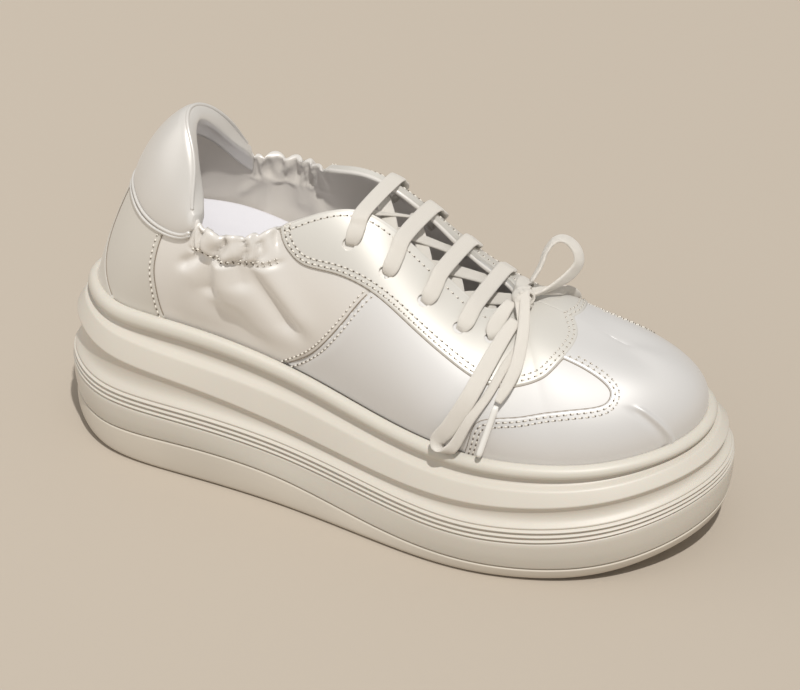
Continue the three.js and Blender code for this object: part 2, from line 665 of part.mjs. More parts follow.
function tube(points, radius, steps) {
  const section = new THREE.Shape();
  for (let k = 0; k < 8; k++) {
    const angle = (k * Math.PI) / 4;
    const place = [radius * Math.cos(angle), radius * Math.sin(angle)];
    if (k === 0) section.moveTo(...place);
    else section.lineTo(...place);
  }
  section.closePath();
  const path = points.length > 2 ? new THREE.CatmullRomCurve3(points) : new THREE.LineCurve3(...points);
  const geometry = new THREE.ExtrudeGeometry(section, { steps, extrudePath: path, bevelEnabled: false });
  geometry.deleteAttribute('normal');
  geometry.deleteAttribute('uv');
  return facingOut(mergeVertices(geometry, 1e-4));
}

// ---- the shoe -------------------------------------------------------------------------------
const CREAM = 0xe8e0d0;
const IVORY = 0xf0ebdf;
const AGLET_RADIUS = 1.3;
const nodes = [
  ['outsole', outsole(), 0xd9cfbd, 0.6],
  ['midsole', midsole(), CREAM, 0.5],
  ['insole', insole(), 0xe6e4ea, 0.8],
  ['upper', upper(), 0xe4ddd2, 0.4],
  ['heel_collar', heelCollar(), 0xe2dccf, 0.4],
  ['lace', laceRun(), IVORY, 0.8],
  ['lace_knot', knot(), IVORY, 0.8],
  ['lace_loop_up', tube(LOOP_UP, CORD_RADIUS, 18), IVORY, 0.8],
  ['lace_loop_side', tube(LOOP_SIDE, CORD_RADIUS, 23), IVORY, 0.8],
  ['lace_end_long', tube(END_LONG, CORD_RADIUS, 8), IVORY, 0.8],
  ['lace_end_short', tube(END_SHORT, CORD_RADIUS, 8), IVORY, 0.8],
  ['aglet_long', tube(AGLET_LONG, AGLET_RADIUS, 2), 0xf6f3ec, 0.3],
  ['aglet_short', tube(AGLET_SHORT, AGLET_RADIUS, 2), 0xf6f3ec, 0.3],
];

// The shoe is moved so that the middle of its underside is the origin; the cords don't count.
const CORDS = /^(lace_|aglet_)/;
const group = new THREE.Group();
const body = new THREE.Box3();
for (const [name, geometry, color, roughness] of nodes) {
  const mesh = new THREE.Mesh(geometry, new THREE.MeshStandardMaterial({ color, roughness }));
  mesh.name = name;
  group.add(mesh);
  if (!CORDS.test(name)) body.expandByObject(mesh, true);
}
const centre = body.getCenter(new THREE.Vector3());
group.position.set(-centre.x, -centre.y, -body.min.z);

export default group;
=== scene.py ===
import math

import bmesh
import bpy
import numpy as np
from mathutils import Matrix, Quaternion, Vector


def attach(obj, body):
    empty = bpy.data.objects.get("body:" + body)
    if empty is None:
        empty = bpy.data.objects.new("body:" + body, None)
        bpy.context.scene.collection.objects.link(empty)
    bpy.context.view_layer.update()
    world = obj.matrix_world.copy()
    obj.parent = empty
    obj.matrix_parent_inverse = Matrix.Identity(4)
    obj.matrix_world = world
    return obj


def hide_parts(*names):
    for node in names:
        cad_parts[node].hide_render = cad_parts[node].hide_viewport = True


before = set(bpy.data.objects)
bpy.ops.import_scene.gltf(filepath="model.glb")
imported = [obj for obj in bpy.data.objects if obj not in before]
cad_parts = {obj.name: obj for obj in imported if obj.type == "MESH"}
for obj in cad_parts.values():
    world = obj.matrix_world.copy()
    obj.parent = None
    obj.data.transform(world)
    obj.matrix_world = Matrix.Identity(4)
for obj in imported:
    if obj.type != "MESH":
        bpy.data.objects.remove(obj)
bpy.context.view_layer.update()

# ---- camera ----------------------------------------------------------------------------------
# A still-life camera above the outer side of the heel, looking down along the shoe with a
# long lens. It keeps clear of the floor and holds the whole shoe with a little air round it.
CAMERA_TURN = math.radians(21.98)
CAMERA_RISE = math.radians(34.99)
CAMERA_FAR = 1.478
shoe_middle = Vector((0.004, 0.0, 0.060))
camera_back = Vector((math.sin(CAMERA_TURN) * math.cos(CAMERA_RISE),
                      -math.cos(CAMERA_TURN) * math.cos(CAMERA_RISE), math.sin(CAMERA_RISE)))
camera = bpy.data.objects.new("camera", bpy.data.cameras.new("camera"))
camera.data.lens = 176
camera.data.clip_start = 0.05
camera.location = shoe_middle + camera_back * CAMERA_FAR
camera.rotation_euler = camera_back.to_track_quat("Z", "Y").to_euler()
bpy.context.collection.objects.link(camera)
bpy.context.scene.camera = camera

# ---- the last --------------------------------------------------------------------------------
# Everything is drawn round one last: the sole's outline in eleven stations and the upper's wall
# in eighteen, in millimetres from the heel tip, outer side first and back along the inner side.
HEEL_TIP_TO_ORIGIN = np.array([-132.5, 2.868, 0.038])
OUTLINE = np.array([
    [0, -1, -1], [6, -18, 16.5], [26, -33.5, 30], [60, -37.5, 34], [100, -38.5, 34.5],
    [140, -46, 39.5], [182, -53.5, 47], [222, -45.5, 46.5], [247, -29, 40], [260.5, -11, 26.5],
    [265, 8, 8]])
BEAD_TOP = [65, 65, 65, 64.4, 57.5, 49.8, 48.2, 48.8, 50, 51, 51.5]
SEAT_INSET = 11.9
WALL = 2.2
# place on the sole, x, half width and height of the top line, then the wall curve's handles
UPPER = np.array([
    [0.00, 51.0, 0.0, 141.0, -7, 25, 19, 15], [0.90, 53.0, 7.0, 138.5, -4.5, 25, 16, 15],
    [1.60, 57.0, 12.5, 132.5, -1, 24, 13, 15], [2.10, 60.5, 18.0, 124.0, 1, 22, 9, 15],
    [2.60, 63.0, 24.0, 115.0, 3, 20, 6, 14], [3.05, 67.5, 28.0, 110.8, 4, 19, 5, 14],
    [3.60, 83.0, 30.0, 111.5, 4, 20, 5, 15], [4.10, 97.5, 22.0, 115.8, 4, 22, 10, 17],
    [4.60, 112.0, 15.5, 121.2, 5, 24, 14, 13], [5.10, 128.0, 10.8, 120.6, 6, 24, 17, 9],
    [5.50, 145.5, 10.5, 108.8, 6, 22, 18, 8], [5.90, 160.0, 10.5, 96.2, 5, 20, 20, 7],
    [6.30, 174.0, 9.6, 87.4, 4, 18, 22, 5], [6.80, 184.0, 0.0, 88.0, 4, 16, 27, 0.6],
    [7.50, 199.0, 0.0, 85.0, 4, 15, 25, 0.3], [8.30, 212.0, 0.0, 80.8, 4, 14, 22, 0.2],
    [9.10, 220.0, 0.0, 77.4, 4, 13, 20, 0.1], [10.0, 222.5, 0.0, 76.4, 4, 13, 19, 0.1]])
INNER_FLATTER = np.array([0, 0, 0, 0, 0, 0, 0, 0, 0, 1, 2, 4, 6, 8, 8, 6, 3, 0])
SPINE_START = 13
TURN_START, TURN_AT_TOE = 95, 5.5
SOLE_TURN = 2 * (len(OUTLINE) - 1)
TURN = 2 * (len(UPPER) - 1)


def closed_curve(values):
    """A closed cubic B-spline that passes through the values, one for each station."""
    count = len(values)
    values = np.array(values, float)
    corner = values.copy()
    for _ in range(30):
        corner = corner + values - (np.roll(corner, 1) + 4 * corner + np.roll(corner, -1)) / 6

    def at(u):
        cell = np.floor(u).astype(int)
        f = u - cell
        a, b, c, d = (corner[(cell + k) % count] for k in (-1, 0, 1, 2))
        return (a * (1 - f) ** 3 + b * (3 * f ** 3 - 6 * f ** 2 + 4)
                + c * (-3 * f ** 3 + 3 * f ** 2 + 3 * f + 1) + d * f ** 3) / 6
    return at


def around(outer, inner=None):
    """The stations' values heel to toe on the outer side, then back on the inner side."""
    inner = outer if inner is None else inner
    return list(outer) + list(inner[1:-1])[::-1]


sole_x = closed_curve(around(OUTLINE[:, 0]))
sole_y = closed_curve(around(OUTLINE[:, 1], OUTLINE[:, 2]))
bead_top = closed_curve(around(BEAD_TOP))


def sole_edge(u, offset):
    """The sole's outline moved out by offset, and the way out from it."""
    dx = sole_x(u + 0.01) - sole_x(u - 0.01)
    dy = sole_y(u + 0.01) - sole_y(u - 0.01)
    length = np.hypot(dx, dy)
    out = np.stack([dy / length, -dx / length, 0 * length], -1)
    edge = np.stack([sole_x(u), sole_y(u), 0 * length], -1)
    return edge + out * np.asarray(offset)[..., None], out


pace = SOLE_TURN / TURN
place_lap = list(UPPER[:, 0]) + [SOLE_TURN - p for p in UPPER[1:-1, 0][::-1]]
place_shift = closed_curve([p - i * pace for i, p in enumerate(place_lap)])
top_x = closed_curve(around(UPPER[:, 1]))
top_half = closed_curve(around(-UPPER[:, 2], UPPER[:, 2]))
top_z = closed_curve(around(UPPER[:, 3]))
foot_out = closed_curve(around(UPPER[:, 4]))
foot_up = closed_curve(around(UPPER[:, 5]))
top_out = closed_curve(around(UPPER[:, 6], UPPER[:, 6] - INNER_FLATTER))
top_down = closed_curve(around(UPPER[:, 7]))


def on_last(s, v):
    """The outside of the plain upper: s runs round the foot, v from the bead to the top line."""
    s, v = np.broadcast_arrays(np.asarray(s, float), np.asarray(v, float))
    place = s * pace + place_shift(s)
    foot, out = sole_edge(place, np.full(s.shape, -SEAT_INSET - 0.45))
    foot[..., 2] = bead_top(place) - 1.2
    spine = np.abs(np.mod(s, TURN) - TURN / 2) < TURN / 2 - SPINE_START + 1e-6
    part = np.clip((top_x(s) - TURN_START) / (222 - TURN_START), 0, None)
    drift = TURN_AT_TOE * (part * part * (3 - 2 * part) * 0.9 + 0.1 * part)
    half = np.where(spine, 0, top_half(s))
    top = np.stack([top_x(s), drift + half, top_z(s)], -1)
    low = foot + out * foot_out(s)[..., None]
    low[..., 2] += foot_up(s)
    high = top + out * top_out(s)[..., None]
    high[..., 2] -= top_down(s)
    v = v[..., None]
    wall = (foot * (1 - v) ** 3 + 3 * low * v * (1 - v) ** 2 + 3 * high * v * v * (1 - v)
            + top * v ** 3)
    # over the vamp the two sides meet without a crease, whichever way the top line slopes
    from_toe = np.abs(np.mod(s, TURN) - TURN / 2)
    run = np.maximum(np.abs(top_x(s + 0.05) - top_x(s - 0.05)), 0.02)
    fall = np.clip(np.abs(top_z(s + 0.05) - top_z(s - 0.05)) / run, 0, 0.45)
    back = np.clip(from_toe / 2.6, 0, 1)
    ease = 3 * top_out(s) * np.clip(out[..., 0], 0, 1) * fall * back * back * (3 - 2 * back)
    left = 1 - v[..., 0]
    wall[..., 2] -= np.where(spine, ease, 0) * left * np.exp(-(left / 0.22) ** 2)
    return wall


def slopes(s, v):
    """How the last runs along s and along v, in millimetres for each step of one."""
    low, high = np.clip(v - 0.01, 0, None), np.clip(v + 0.01, None, 1)
    along = (on_last(s + 0.01, v) - on_last(s - 0.01, v)) / 0.02
    rise = (on_last(s, high) - on_last(s, low)) / (high - low)[..., None]
    return along, rise


def off_last(s, v, lift):
    """A place on the last, lifted off its surface."""
    s, v, lift = np.broadcast_arrays(*(np.asarray(a, float) for a in (s, v, lift)))
    along, rise = slopes(s, v)
    normal = np.cross(along, rise)
    normal /= np.linalg.norm(normal, axis=-1)[..., None]
    return on_last(s, v) + normal * lift[..., None]


def wall_v(s, height):
    """How far up the wall, from 0 at the bead to 1 at the top line, a height lies."""
    low, high = np.zeros(np.shape(s)), np.ones(np.shape(s))
    for _ in range(24):
        v = (low + high) / 2
        under = on_last(s, v)[..., 2] < height
        low, high = np.where(under, v, low), np.where(under, high, v)
    return (low + high) / 2


# Gathers and creases of the leather, each a soft trough along a line on the last: from (s, v)
# to (s, v), half width and depth in millimetres; a negative depth is a ridge or puff.
STATION, RISE = 14.5, 72.0
CREASES = [
    # the stitch line that the gathers hang from
    [4.60, 0.745, 6.95, 0.755, 1.5, 1.0],
    # pinches in the gathers, each running down at its own slant
    [4.86, 0.95, 5.10, 0.77, 1.5, 1.6], [5.66, 0.93, 5.48, 0.76, 1.6, 1.8],
    [6.02, 0.96, 6.24, 0.78, 1.4, 1.4], [6.52, 0.92, 6.40, 0.78, 1.2, 1.1],
    # soft folds that run down the quarter from the gathers
    [4.95, 0.73, 4.50, 0.60, 3.4, 2.0],
    [5.26, 0.74, 5.34, 0.44, 2.8, 3.0], [5.55, 0.70, 5.62, 0.42, 4.4, -1.5],
    [5.92, 0.74, 6.02, 0.60, 2.6, 1.9], [6.20, 0.72, 6.90, 0.34, 3.6, 2.9],
    [6.65, 0.70, 7.25, 0.42, 5.0, -1.2], [4.75, 0.50, 4.95, 0.20, 7.0, -1.0],
    [5.85, 0.50, 6.30, 0.24, 6.0, -1.0], [5.35, 0.34, 5.95, 0.18, 5.0, 0.8],
]
# The short dart pinched into each side of the toe, from its foot at the bead to its top.
DART_FOOT, DART_LEAN, DART_TOP = 15.46, 0.70, 0.40
DART_WIDTH, DART_HEIGHT, DART_DIP = 0.95, 1.0, 0.55
# The collar's elastic draws the leather into puffs between these stations, each its own size.
PINCHES = [4.62, 4.98, 5.56, 6.12, 6.46, 6.95]
PUFFS = [2.4, 4.2, 3.6, 3.2, 2.2]
BAND_FOOT, BAND_FULL = 0.755, 0.85


def trough(s, v, crease):
    """One crease's depth at a place on the outer side."""
    s0, v0, s1, v1, width, depth = crease
    ax, ay = (s - s0) * STATION, (v - v0) * RISE
    bx, by = (s1 - s0) * STATION, (v1 - v0) * RISE
    along = (ax * bx + ay * by) / (bx * bx + by * by)
    past = np.abs(along - np.clip(along, 0, 1)) * math.hypot(bx, by)
    away = np.abs(ax * by - ay * bx) / math.hypot(bx, by)
    return depth * np.exp(-(away / width) ** 2 - (past / (1.6 * width)) ** 2)


def dart(s, v):
    """A dart on each side of the toe: a thin curved ridge with a dip along its heel side."""
    away = (s - DART_FOOT + DART_LEAN * (np.clip(v, 0, 1) / DART_TOP) ** 1.7) * 11.0
    length = np.clip((DART_TOP + 0.02 - v) / 0.07, 0, 1)
    length = length * length * (3 - 2 * length)
    ridge = DART_HEIGHT * np.exp(-(away / DART_WIDTH) ** 2)
    dip = DART_DIP * np.exp(-((away + 2.0) / (1.5 * DART_WIDTH)) ** 2)
    return length * (ridge - dip)


def puffed(side):
    """How far a gathered puff swells at a station: 0 in a pinch, up to its size between two."""
    swell = np.zeros(np.shape(side))
    for start, end, size in zip(PINCHES, PINCHES[1:], PUFFS):
        x = np.abs((side - start) / (end - start) * 2 - 1)
        swell = np.where(x < 1, size * (1 - np.minimum(x, 1) ** 2.0) ** 0.75, swell)
    return swell


def in_band(side, v):
    """1 in the gathered band of the collar, fading out below it and at its two ends."""
    high = np.clip((v - BAND_FOOT) / (BAND_FULL - BAND_FOOT), 0, 1)
    ends = np.clip((side - 4.5) / 0.15, 0, 1) * np.clip((7.05 - side) / 0.12, 0, 1)
    return high * (2 - high) * ends


def relief(s, v):
    """Gathers and creases at a place of the upper, both sides, positive outwards."""
    s = np.mod(s, TURN)
    side = np.minimum(s, TURN - s)
    # each puff leans and wanders a little on its way down
    lean = side + 0.10 * np.sin((v - 0.75) * 21 + side * 2.3)
    total = in_band(side, v) * (puffed(lean) - 1.9)
    for crease in CREASES:
        total = total - trough(side, v, crease)
    total = total + dart(s, v)
    # a valley bottoms out softly, before it would reach the lining
    total = np.where(total < -1.4, -1.4 - 1.2 * np.tanh((-1.4 - total) / 1.2), total)
    # the diagonal seam of the quarter, pulled in by its stitches
    return total - trough(side, v, [6.72, 0.0, 9.1, 0.61, 0.55, 0.55])


def skin(s, v, lift):
    """A place on the finished leather, gathers included."""
    place = off_last(s, v, relief(s, v) + lift)
    side = np.minimum(np.mod(s, TURN), TURN - np.mod(s, TURN))
    top = np.clip((v - 0.86) / 0.14, 0, 1)
    near = np.where(np.mod(s, TURN) < TURN / 2, 0.62, 0.14)
    place[..., 2] += top * in_band(side, v) * near * (puffed(side) - 1.9)
    return place


def to_metres(points):
    return (np.asarray(points) + HEEL_TIP_TO_ORIGIN) * 0.001


def piece_mesh(name, points, faces, smooth=True, merge=0.0):
    """A mesh object from points in millimetres, at the origin of the frame."""
    mesh = bpy.data.meshes.new(name)
    mesh.from_pydata(to_metres(points).reshape(-1, 3).tolist(), [], [tuple(f) for f in faces])
    if merge:
        work = bmesh.new()
        work.from_mesh(mesh)
        bmesh.ops.remove_doubles(work, verts=work.verts, dist=merge * 0.001)
        work.to_mesh(mesh)
        work.free()
    mesh.polygons.foreach_set("use_smooth", [smooth] * len(mesh.polygons))
    piece = bpy.data.objects.new(name, mesh)
    bpy.context.collection.objects.link(piece)
    return piece


def faces_outward(piece):
    """Turns every face of a closed piece to the outside."""
    work = bmesh.new()
    work.from_mesh(piece.data)
    bmesh.ops.recalc_face_normals(work, faces=work.faces)
    if work.calc_volume(signed=True) < 0:
        bmesh.ops.reverse_faces(work, faces=work.faces)
    work.to_mesh(piece.data)
    work.free()
    return piece


def tube_faces(rings, count, closed=False):
    """Quads that join rings of count points each, one ring after another."""
    faces = []
    for r in range(rings if closed else rings - 1):
        a, b = r * count, ((r + 1) % rings) * count
        for k in range(count):
            n = (k + 1) % count
            faces.append((a + k, a + n, b + n, b + k))
    return faces


def material(name, colour, roughness, **sockets):
    """A procedural finish with one Principled shader; sockets are set by their own names."""
    made = bpy.data.materials.new(name)
    made.use_nodes = True
    shader = made.node_tree.nodes["Principled BSDF"]
    shader.inputs["Base Color"].default_value = (*colour, 1)
    shader.inputs["Roughness"].default_value = roughness
    for socket, value in sockets.items():
        shader.inputs[socket.replace("_", " ").title().replace("Ior", "IOR")].default_value = value
    return made, made.node_tree, shader


def add_node(tree, kind, **values):
    node = tree.nodes.new(kind)
    for name, value in values.items():
        if hasattr(node, name):
            setattr(node, name, value)
        else:
            node.inputs[name.replace("_", " ")].default_value = value
    return node


def grained(made, scale, height, colour_shift, detail=4.0):
    """Adds a fine grain: bump from noise at scale, and a slow drift of the colour."""
    _, tree, shader = made
    where = add_node(tree, "ShaderNodeTexCoord")
    grain = add_node(tree, "ShaderNodeTexNoise", Scale=scale, Detail=detail, Roughness=0.6)
    bump = add_node(tree, "ShaderNodeBump", Strength=0.35, Distance=height)
    tree.links.new(where.outputs["Object"], grain.inputs["Vector"])
    tree.links.new(grain.outputs["Fac"], bump.inputs["Height"])
    tree.links.new(bump.outputs["Normal"], shader.inputs["Normal"])
    drift = add_node(tree, "ShaderNodeTexNoise", Scale=22.0, Detail=2.0, Roughness=0.5)
    tree.links.new(where.outputs["Object"], drift.inputs["Vector"])
    ramp = add_node(tree, "ShaderNodeValToRGB")
    base = np.array(shader.inputs["Base Color"].default_value[:3])
    ramp.color_ramp.elements[0].position = 0.3
    ramp.color_ramp.elements[0].color = (*(base * (1 - colour_shift)), 1)
    ramp.color_ramp.elements[1].position = 0.7
    ramp.color_ramp.elements[1].color = (*np.minimum(base * (1 + 0.5 * colour_shift), 1), 1)
    tree.links.new(drift.outputs["Fac"], ramp.inputs["Fac"])
    tree.links.new(ramp.outputs["Color"], shader.inputs["Base Color"])
    return made[0]


# ---- laces -----------------------------------------------------------------------------------
# One flat woven cotton lace, 6 mm wide. It crosses the throat in four bars, slants back under
# it between them, and comes up through the last two eyelets to be tied in a bow.
LACE_WIDTH, LACE_THICK = 6.2, 1.35
LACE_IVORY = (0.80, 0.76, 0.695)
EYELET_ROWS = [[8.7, 0.8], [9.5, 0.75], [10.4, 0.77], [11.3, 0.78], [12.1, 0.8]]
INNER_STEP, INNER_RISE = 0.2, 0.02
EYELET_BORE = 4.6

lace_finish = material("woven_lace", LACE_IVORY, 0.78, sheen_weight=0.25, sheen_roughness=0.5)
_, tree, shader = lace_finish
weave_place = add_node(tree, "ShaderNodeUVMap", uv_map="UVMap")
weave_across = add_node(tree, "ShaderNodeTexWave", wave_type="BANDS", bands_direction="X",
                        Scale=5.5, Distortion=0.6, Detail=2.0)
weave_along = add_node(tree, "ShaderNodeTexWave", wave_type="BANDS", bands_direction="Y",
                       Scale=1.5, Distortion=1.2, Detail=2.0)
weave_mix = add_node(tree, "ShaderNodeMath", operation="MULTIPLY")
weave_bump = add_node(tree, "ShaderNodeBump", Strength=0.5, Distance=0.0003)
weave_shade = add_node(tree, "ShaderNodeValToRGB")
weave_shade.color_ramp.elements[0].color = (*(np.array(LACE_IVORY) * 0.95), 1)
weave_shade.color_ramp.elements[1].color = (*LACE_IVORY, 1)
tree.links.new(weave_place.outputs["UV"], weave_across.inputs["Vector"])
tree.links.new(weave_place.outputs["UV"], weave_along.inputs["Vector"])
tree.links.new(weave_across.outputs["Fac"], weave_mix.inputs[0])
tree.links.new(weave_along.outputs["Fac"], weave_mix.inputs[1])
tree.links.new(weave_mix.outputs["Value"], weave_bump.inputs["Height"])
tree.links.new(weave_mix.outputs["Value"], weave_shade.inputs["Fac"])
tree.links.new(weave_bump.outputs["Normal"], shader.inputs["Normal"])
tree.links.new(weave_shade.outputs["Color"], shader.inputs["Base Color"])


def smooth_path(points, step):
    """A Catmull-Rom curve through the points, in even steps."""
    points = np.asarray(points, float)
    ends = np.vstack([2 * points[0] - points[1], points, 2 * points[-1] - points[-2]])
    t = np.linspace(0, 1, 24, endpoint=False)[:, None]
    rows = []
    for i in range(len(points) - 1):
        a, b, c, d = ends[i:i + 4]
        rows.append(0.5 * (2 * b + (c - a) * t + (2 * a - 5 * b + 4 * c - d) * t ** 2
                           + (3 * b - a - 3 * c + d) * t ** 3))
    path = np.vstack(rows + [points[-1:]])
    length = np.concatenate([[0], np.cumsum(np.linalg.norm(np.diff(path, axis=0), axis=1))])
    even = np.linspace(0, length[-1], max(2, int(round(length[-1] / step)) + 1))
    return np.stack([np.interp(even, length, path[:, k]) for k in range(path.shape[1])], 1)


LACE_SECTION = [(math.cos(a), math.sin(a)) for a in np.linspace(0, 2 * math.pi, 16, endpoint=False)]


def flat_lace(name, runs, step=1.0):
    """Flat laces as one mesh. A run is a list of [x, y, z, across x, y, z, width] stations."""
    points, faces, places = [], [], []
    for run in runs:
        path = smooth_path(run, step)
        centre, across, width = path[:, :3], path[:, 3:6], path[:, 6]
        along = np.gradient(centre, axis=0)
        along /= np.linalg.norm(along, axis=1)[:, None]
        across = across - along * (across * along).sum(1)[:, None]
        across /= np.linalg.norm(across, axis=1)[:, None]
        up = np.cross(along, across)
        base = len(points)
        gone = np.concatenate([[0], np.cumsum(np.linalg.norm(np.diff(centre, axis=0), axis=1))])
        for i in range(len(path)):
            for cx, cy in LACE_SECTION:
                flat = math.copysign(abs(cx) ** 0.55, cx)
                thick = math.copysign(abs(cy) ** 0.8, cy)
                points.append(centre[i] + across[i] * flat * width[i] / 2
                              + up[i] * thick * LACE_THICK / 2)
                places.append((gone[i], flat * width[i] / 2))
        count = len(LACE_SECTION)
        faces += [tuple(base + k for k in f) for f in tube_faces(len(path), count)]
        faces.append(tuple(base + k for k in range(count))[::-1])
        faces.append(tuple(base + (len(path) - 1) * count + k for k in range(count)))
    piece = piece_mesh(name, points, faces)
    layer = piece.data.uv_layers.new(name="UVMap")
    for loop in piece.data.loops:
        layer.data[loop.index].uv = places[loop.vertex_index]
    faces_outward(piece)
    piece.data.materials.append(lace_finish[0])
    return piece


def eyelet_place(row, side):
    """Station and height of an eyelet: side -1 is the outer side, 1 the inner side."""
    s, v = EYELET_ROWS[row]
    return (s, v) if side < 0 else (TURN - s - INNER_STEP, v + INNER_RISE)


def toeward(s, v):
    along = on_last(s + 0.1, v) - on_last(s - 0.1, v)
    return along / np.linalg.norm(along) * (1 if s < TURN / 2 else -1)


def station(at, across, width):
    return [*at, *across, width]


def straight_across(row, side, v):
    """The station where the line between a row's two eyelets, from above, crosses height v."""
    start, end = (on_last(*eyelet_place(row, k)) for k in (-1, 1))

    def beside(s):
        at = on_last(s, v)
        return (end[0] - start[0]) * (at[1] - start[1]) - (end[1] - start[1]) * (at[0] - start[0])

    s, _ = eyelet_place(row, side)
    low, high = s - 1.5, s + 1.5
    sign = beside(low) > 0
    for _ in range(30):
        s = (low + high) / 2
        low, high = (s, high) if (beside(s) > 0) == sign else (low, s)
    return s


def out_through_eyelet(row, side):
    """From inside the shoe up through an eyelet and straight over to the throat's edge."""
    s, v = eyelet_place(row, side)
    across = toeward(s, v)
    stops = [(v - 0.005, -WALL - 2, 3.0, 0.3), (v, -0.2, 3.2, 0.6), (v + 0.012, 1.7, 5.0, 1.0),
             (v + 0.05, 2.9, LACE_WIDTH, 1.2), (v + (1 - v) * 0.5, 3.0, LACE_WIDTH, 1.2),
             (1, 2.3, LACE_WIDTH, 1.2)]
    run = []
    for k, (height, lift, width, aside) in enumerate(stops):
        place = s if k < 2 or row > 3 else straight_across(row, side, height)
        run.append(station(off_last(place, height, lift) + across * aside, across, width))
    return run


lace_runs = []
for row in range(4):
    lace_runs.append(out_through_eyelet(row, -1) + out_through_eyelet(row, 1)[::-1])
    for side in (-1, 1):
        s, v = eyelet_place(row, side)
        far_s, far_v = eyelet_place(row + 1, -side)
        across = toeward(s, v)
        sink = -WALL - 2 - (0.8 if side > 0 else 0)
        lace_runs.append([
            station(off_last(s, v, sink), across, 3.0),
            station(off_last(s, 1.0, sink), across, 5.6),
            station(off_last(far_s, 1.0, sink), across, 5.6),
            station(off_last(far_s, far_v, sink), across, 3.0)])
KNOT = np.array([184.0, 0.0, 92.6])
for side in (-1, 1):
    risen = out_through_eyelet(4, side)[:4]
    stop = KNOT + [-2.5, side * 4.5, -0.3]
    half_way = (np.array(risen[-1][:3]) + stop) / 2 + [0, 0, 0.9]
    lace_runs.append(risen + [station(half_way, risen[0][3:6], 5.4),
                              station(stop, risen[0][3:6], 4.0)])
lace = flat_lace("lace_crossings", lace_runs)
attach(lace, "root")
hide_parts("lace")

# The bow: each half of the lace is one cord that leaves the knot, makes its loop, goes back
# through the knot and hangs to its hard end, the long one outside, the short one inside.
LOOP_UP = [[185, 7, 95], [187, 11, 100], [188, 14.5, 105], [190.5, 17.5, 108.5],
           [194.5, 18.5, 109], [198.5, 18.5, 105.5], [200, 17, 101], [198, 14, 97.2],
           [194.5, 10, 94.6], [191, 6.5, 93]]
LOOP_SIDE = [[12.75, 0.83, 4.5], [12.35, 0.74, 4.2], [11.9, 0.6, 4], [11.4, 0.4, 4],
             [10.8, 0.2, 3.6], [10.45, 0.1, 4.4], [10.55, 0.05, 5.2], [10.85, 0.1, 5.2],
             [11.35, 0.28, 3.6], [11.9, 0.46, 2.6], [12.4, 0.62, 2.4], [12.85, 0.74, 2.4]]
END_LONG = [[12.95, 0.82, 6], [12.85, 0.72, 5.4], [12.65, 0.6, 5], [12.35, 0.5, 5],
            [12.1, 0.42, 5]]
END_SHORT = [[20.6, 0.86, 3.6], [20.7, 0.76, 2.8], [20.95, 0.64, 2.8], [21.2, 0.54, 3],
             [21.45, 0.45, 3.2]]
AGLET_LONG = [[12.06, 0.4, 5], [11.45, 0.07, 4.4]]
AGLET_SHORT = [[21.5, 0.43, 3.2], [21.95, 0.16, 3.6]]


def lay_on(row):
    return [off_last(s, v, lift) for s, v, lift in row]


def bow_cord(name, points, turns, widths, flat_way):
    """One half of the bow: turns are the lace's angles about its own line, 0 along flat_way."""
    points = np.array(points)
    along = np.gradient(points, axis=0)
    along /= np.linalg.norm(along, axis=1)[:, None]
    flat = flat_way - along * (along @ flat_way)[:, None]
    flat /= np.linalg.norm(flat, axis=1)[:, None]
    other = np.cross(along, flat)
    angle = np.radians(np.asarray(turns, float))[:, None]
    across = flat * np.cos(angle) + other * np.sin(angle)
    run = [station(p, a, w) for p, a, w in zip(points, across, widths)]
    piece = flat_lace(name, [run], 0.8)
    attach(piece, "root")
    return piece


aglet_finish = grained(material("aglet_plastic", (0.86, 0.85, 0.82), 0.22, coat_weight=0.4),
                       900.0, 0.00002, 0.03)


def aglet(name, ends):
    """A hard end: the lace rolled into a slim sleeve, pinched a little where it starts."""
    path = smooth_path([list(p) for p in ends], 1.2)
    along = path[-1] - path[0]
    along /= np.linalg.norm(along)
    side = np.cross(along, [0, 0, 1])
    side /= np.linalg.norm(side)
    up = np.cross(along, side)
    points = []
    for i, at in enumerate(path):
        near_end = min(i, len(path) - 1 - i)
        radius = 1.25 - (0.35 if near_end == 0 else 0.08 if near_end == 1 else 0)
        for a in np.linspace(0, 2 * math.pi, 14, endpoint=False):
            points.append(at + (side * math.cos(a) + up * math.sin(a)) * radius)
    faces = tube_faces(len(path), 14) + [tuple(range(14))[::-1],
                                        tuple((len(path) - 1) * 14 + k for k in range(14))]
    piece = faces_outward(piece_mesh(name, points, faces))
    piece.data.materials.append(aglet_finish)
    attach(piece, "root")
    return piece


aglet_long = aglet("aglet_tip_long", lay_on(AGLET_LONG))
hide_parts("aglet_long")
aglet_short = aglet("aglet_tip_short", lay_on(AGLET_SHORT))
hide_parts("aglet_short")

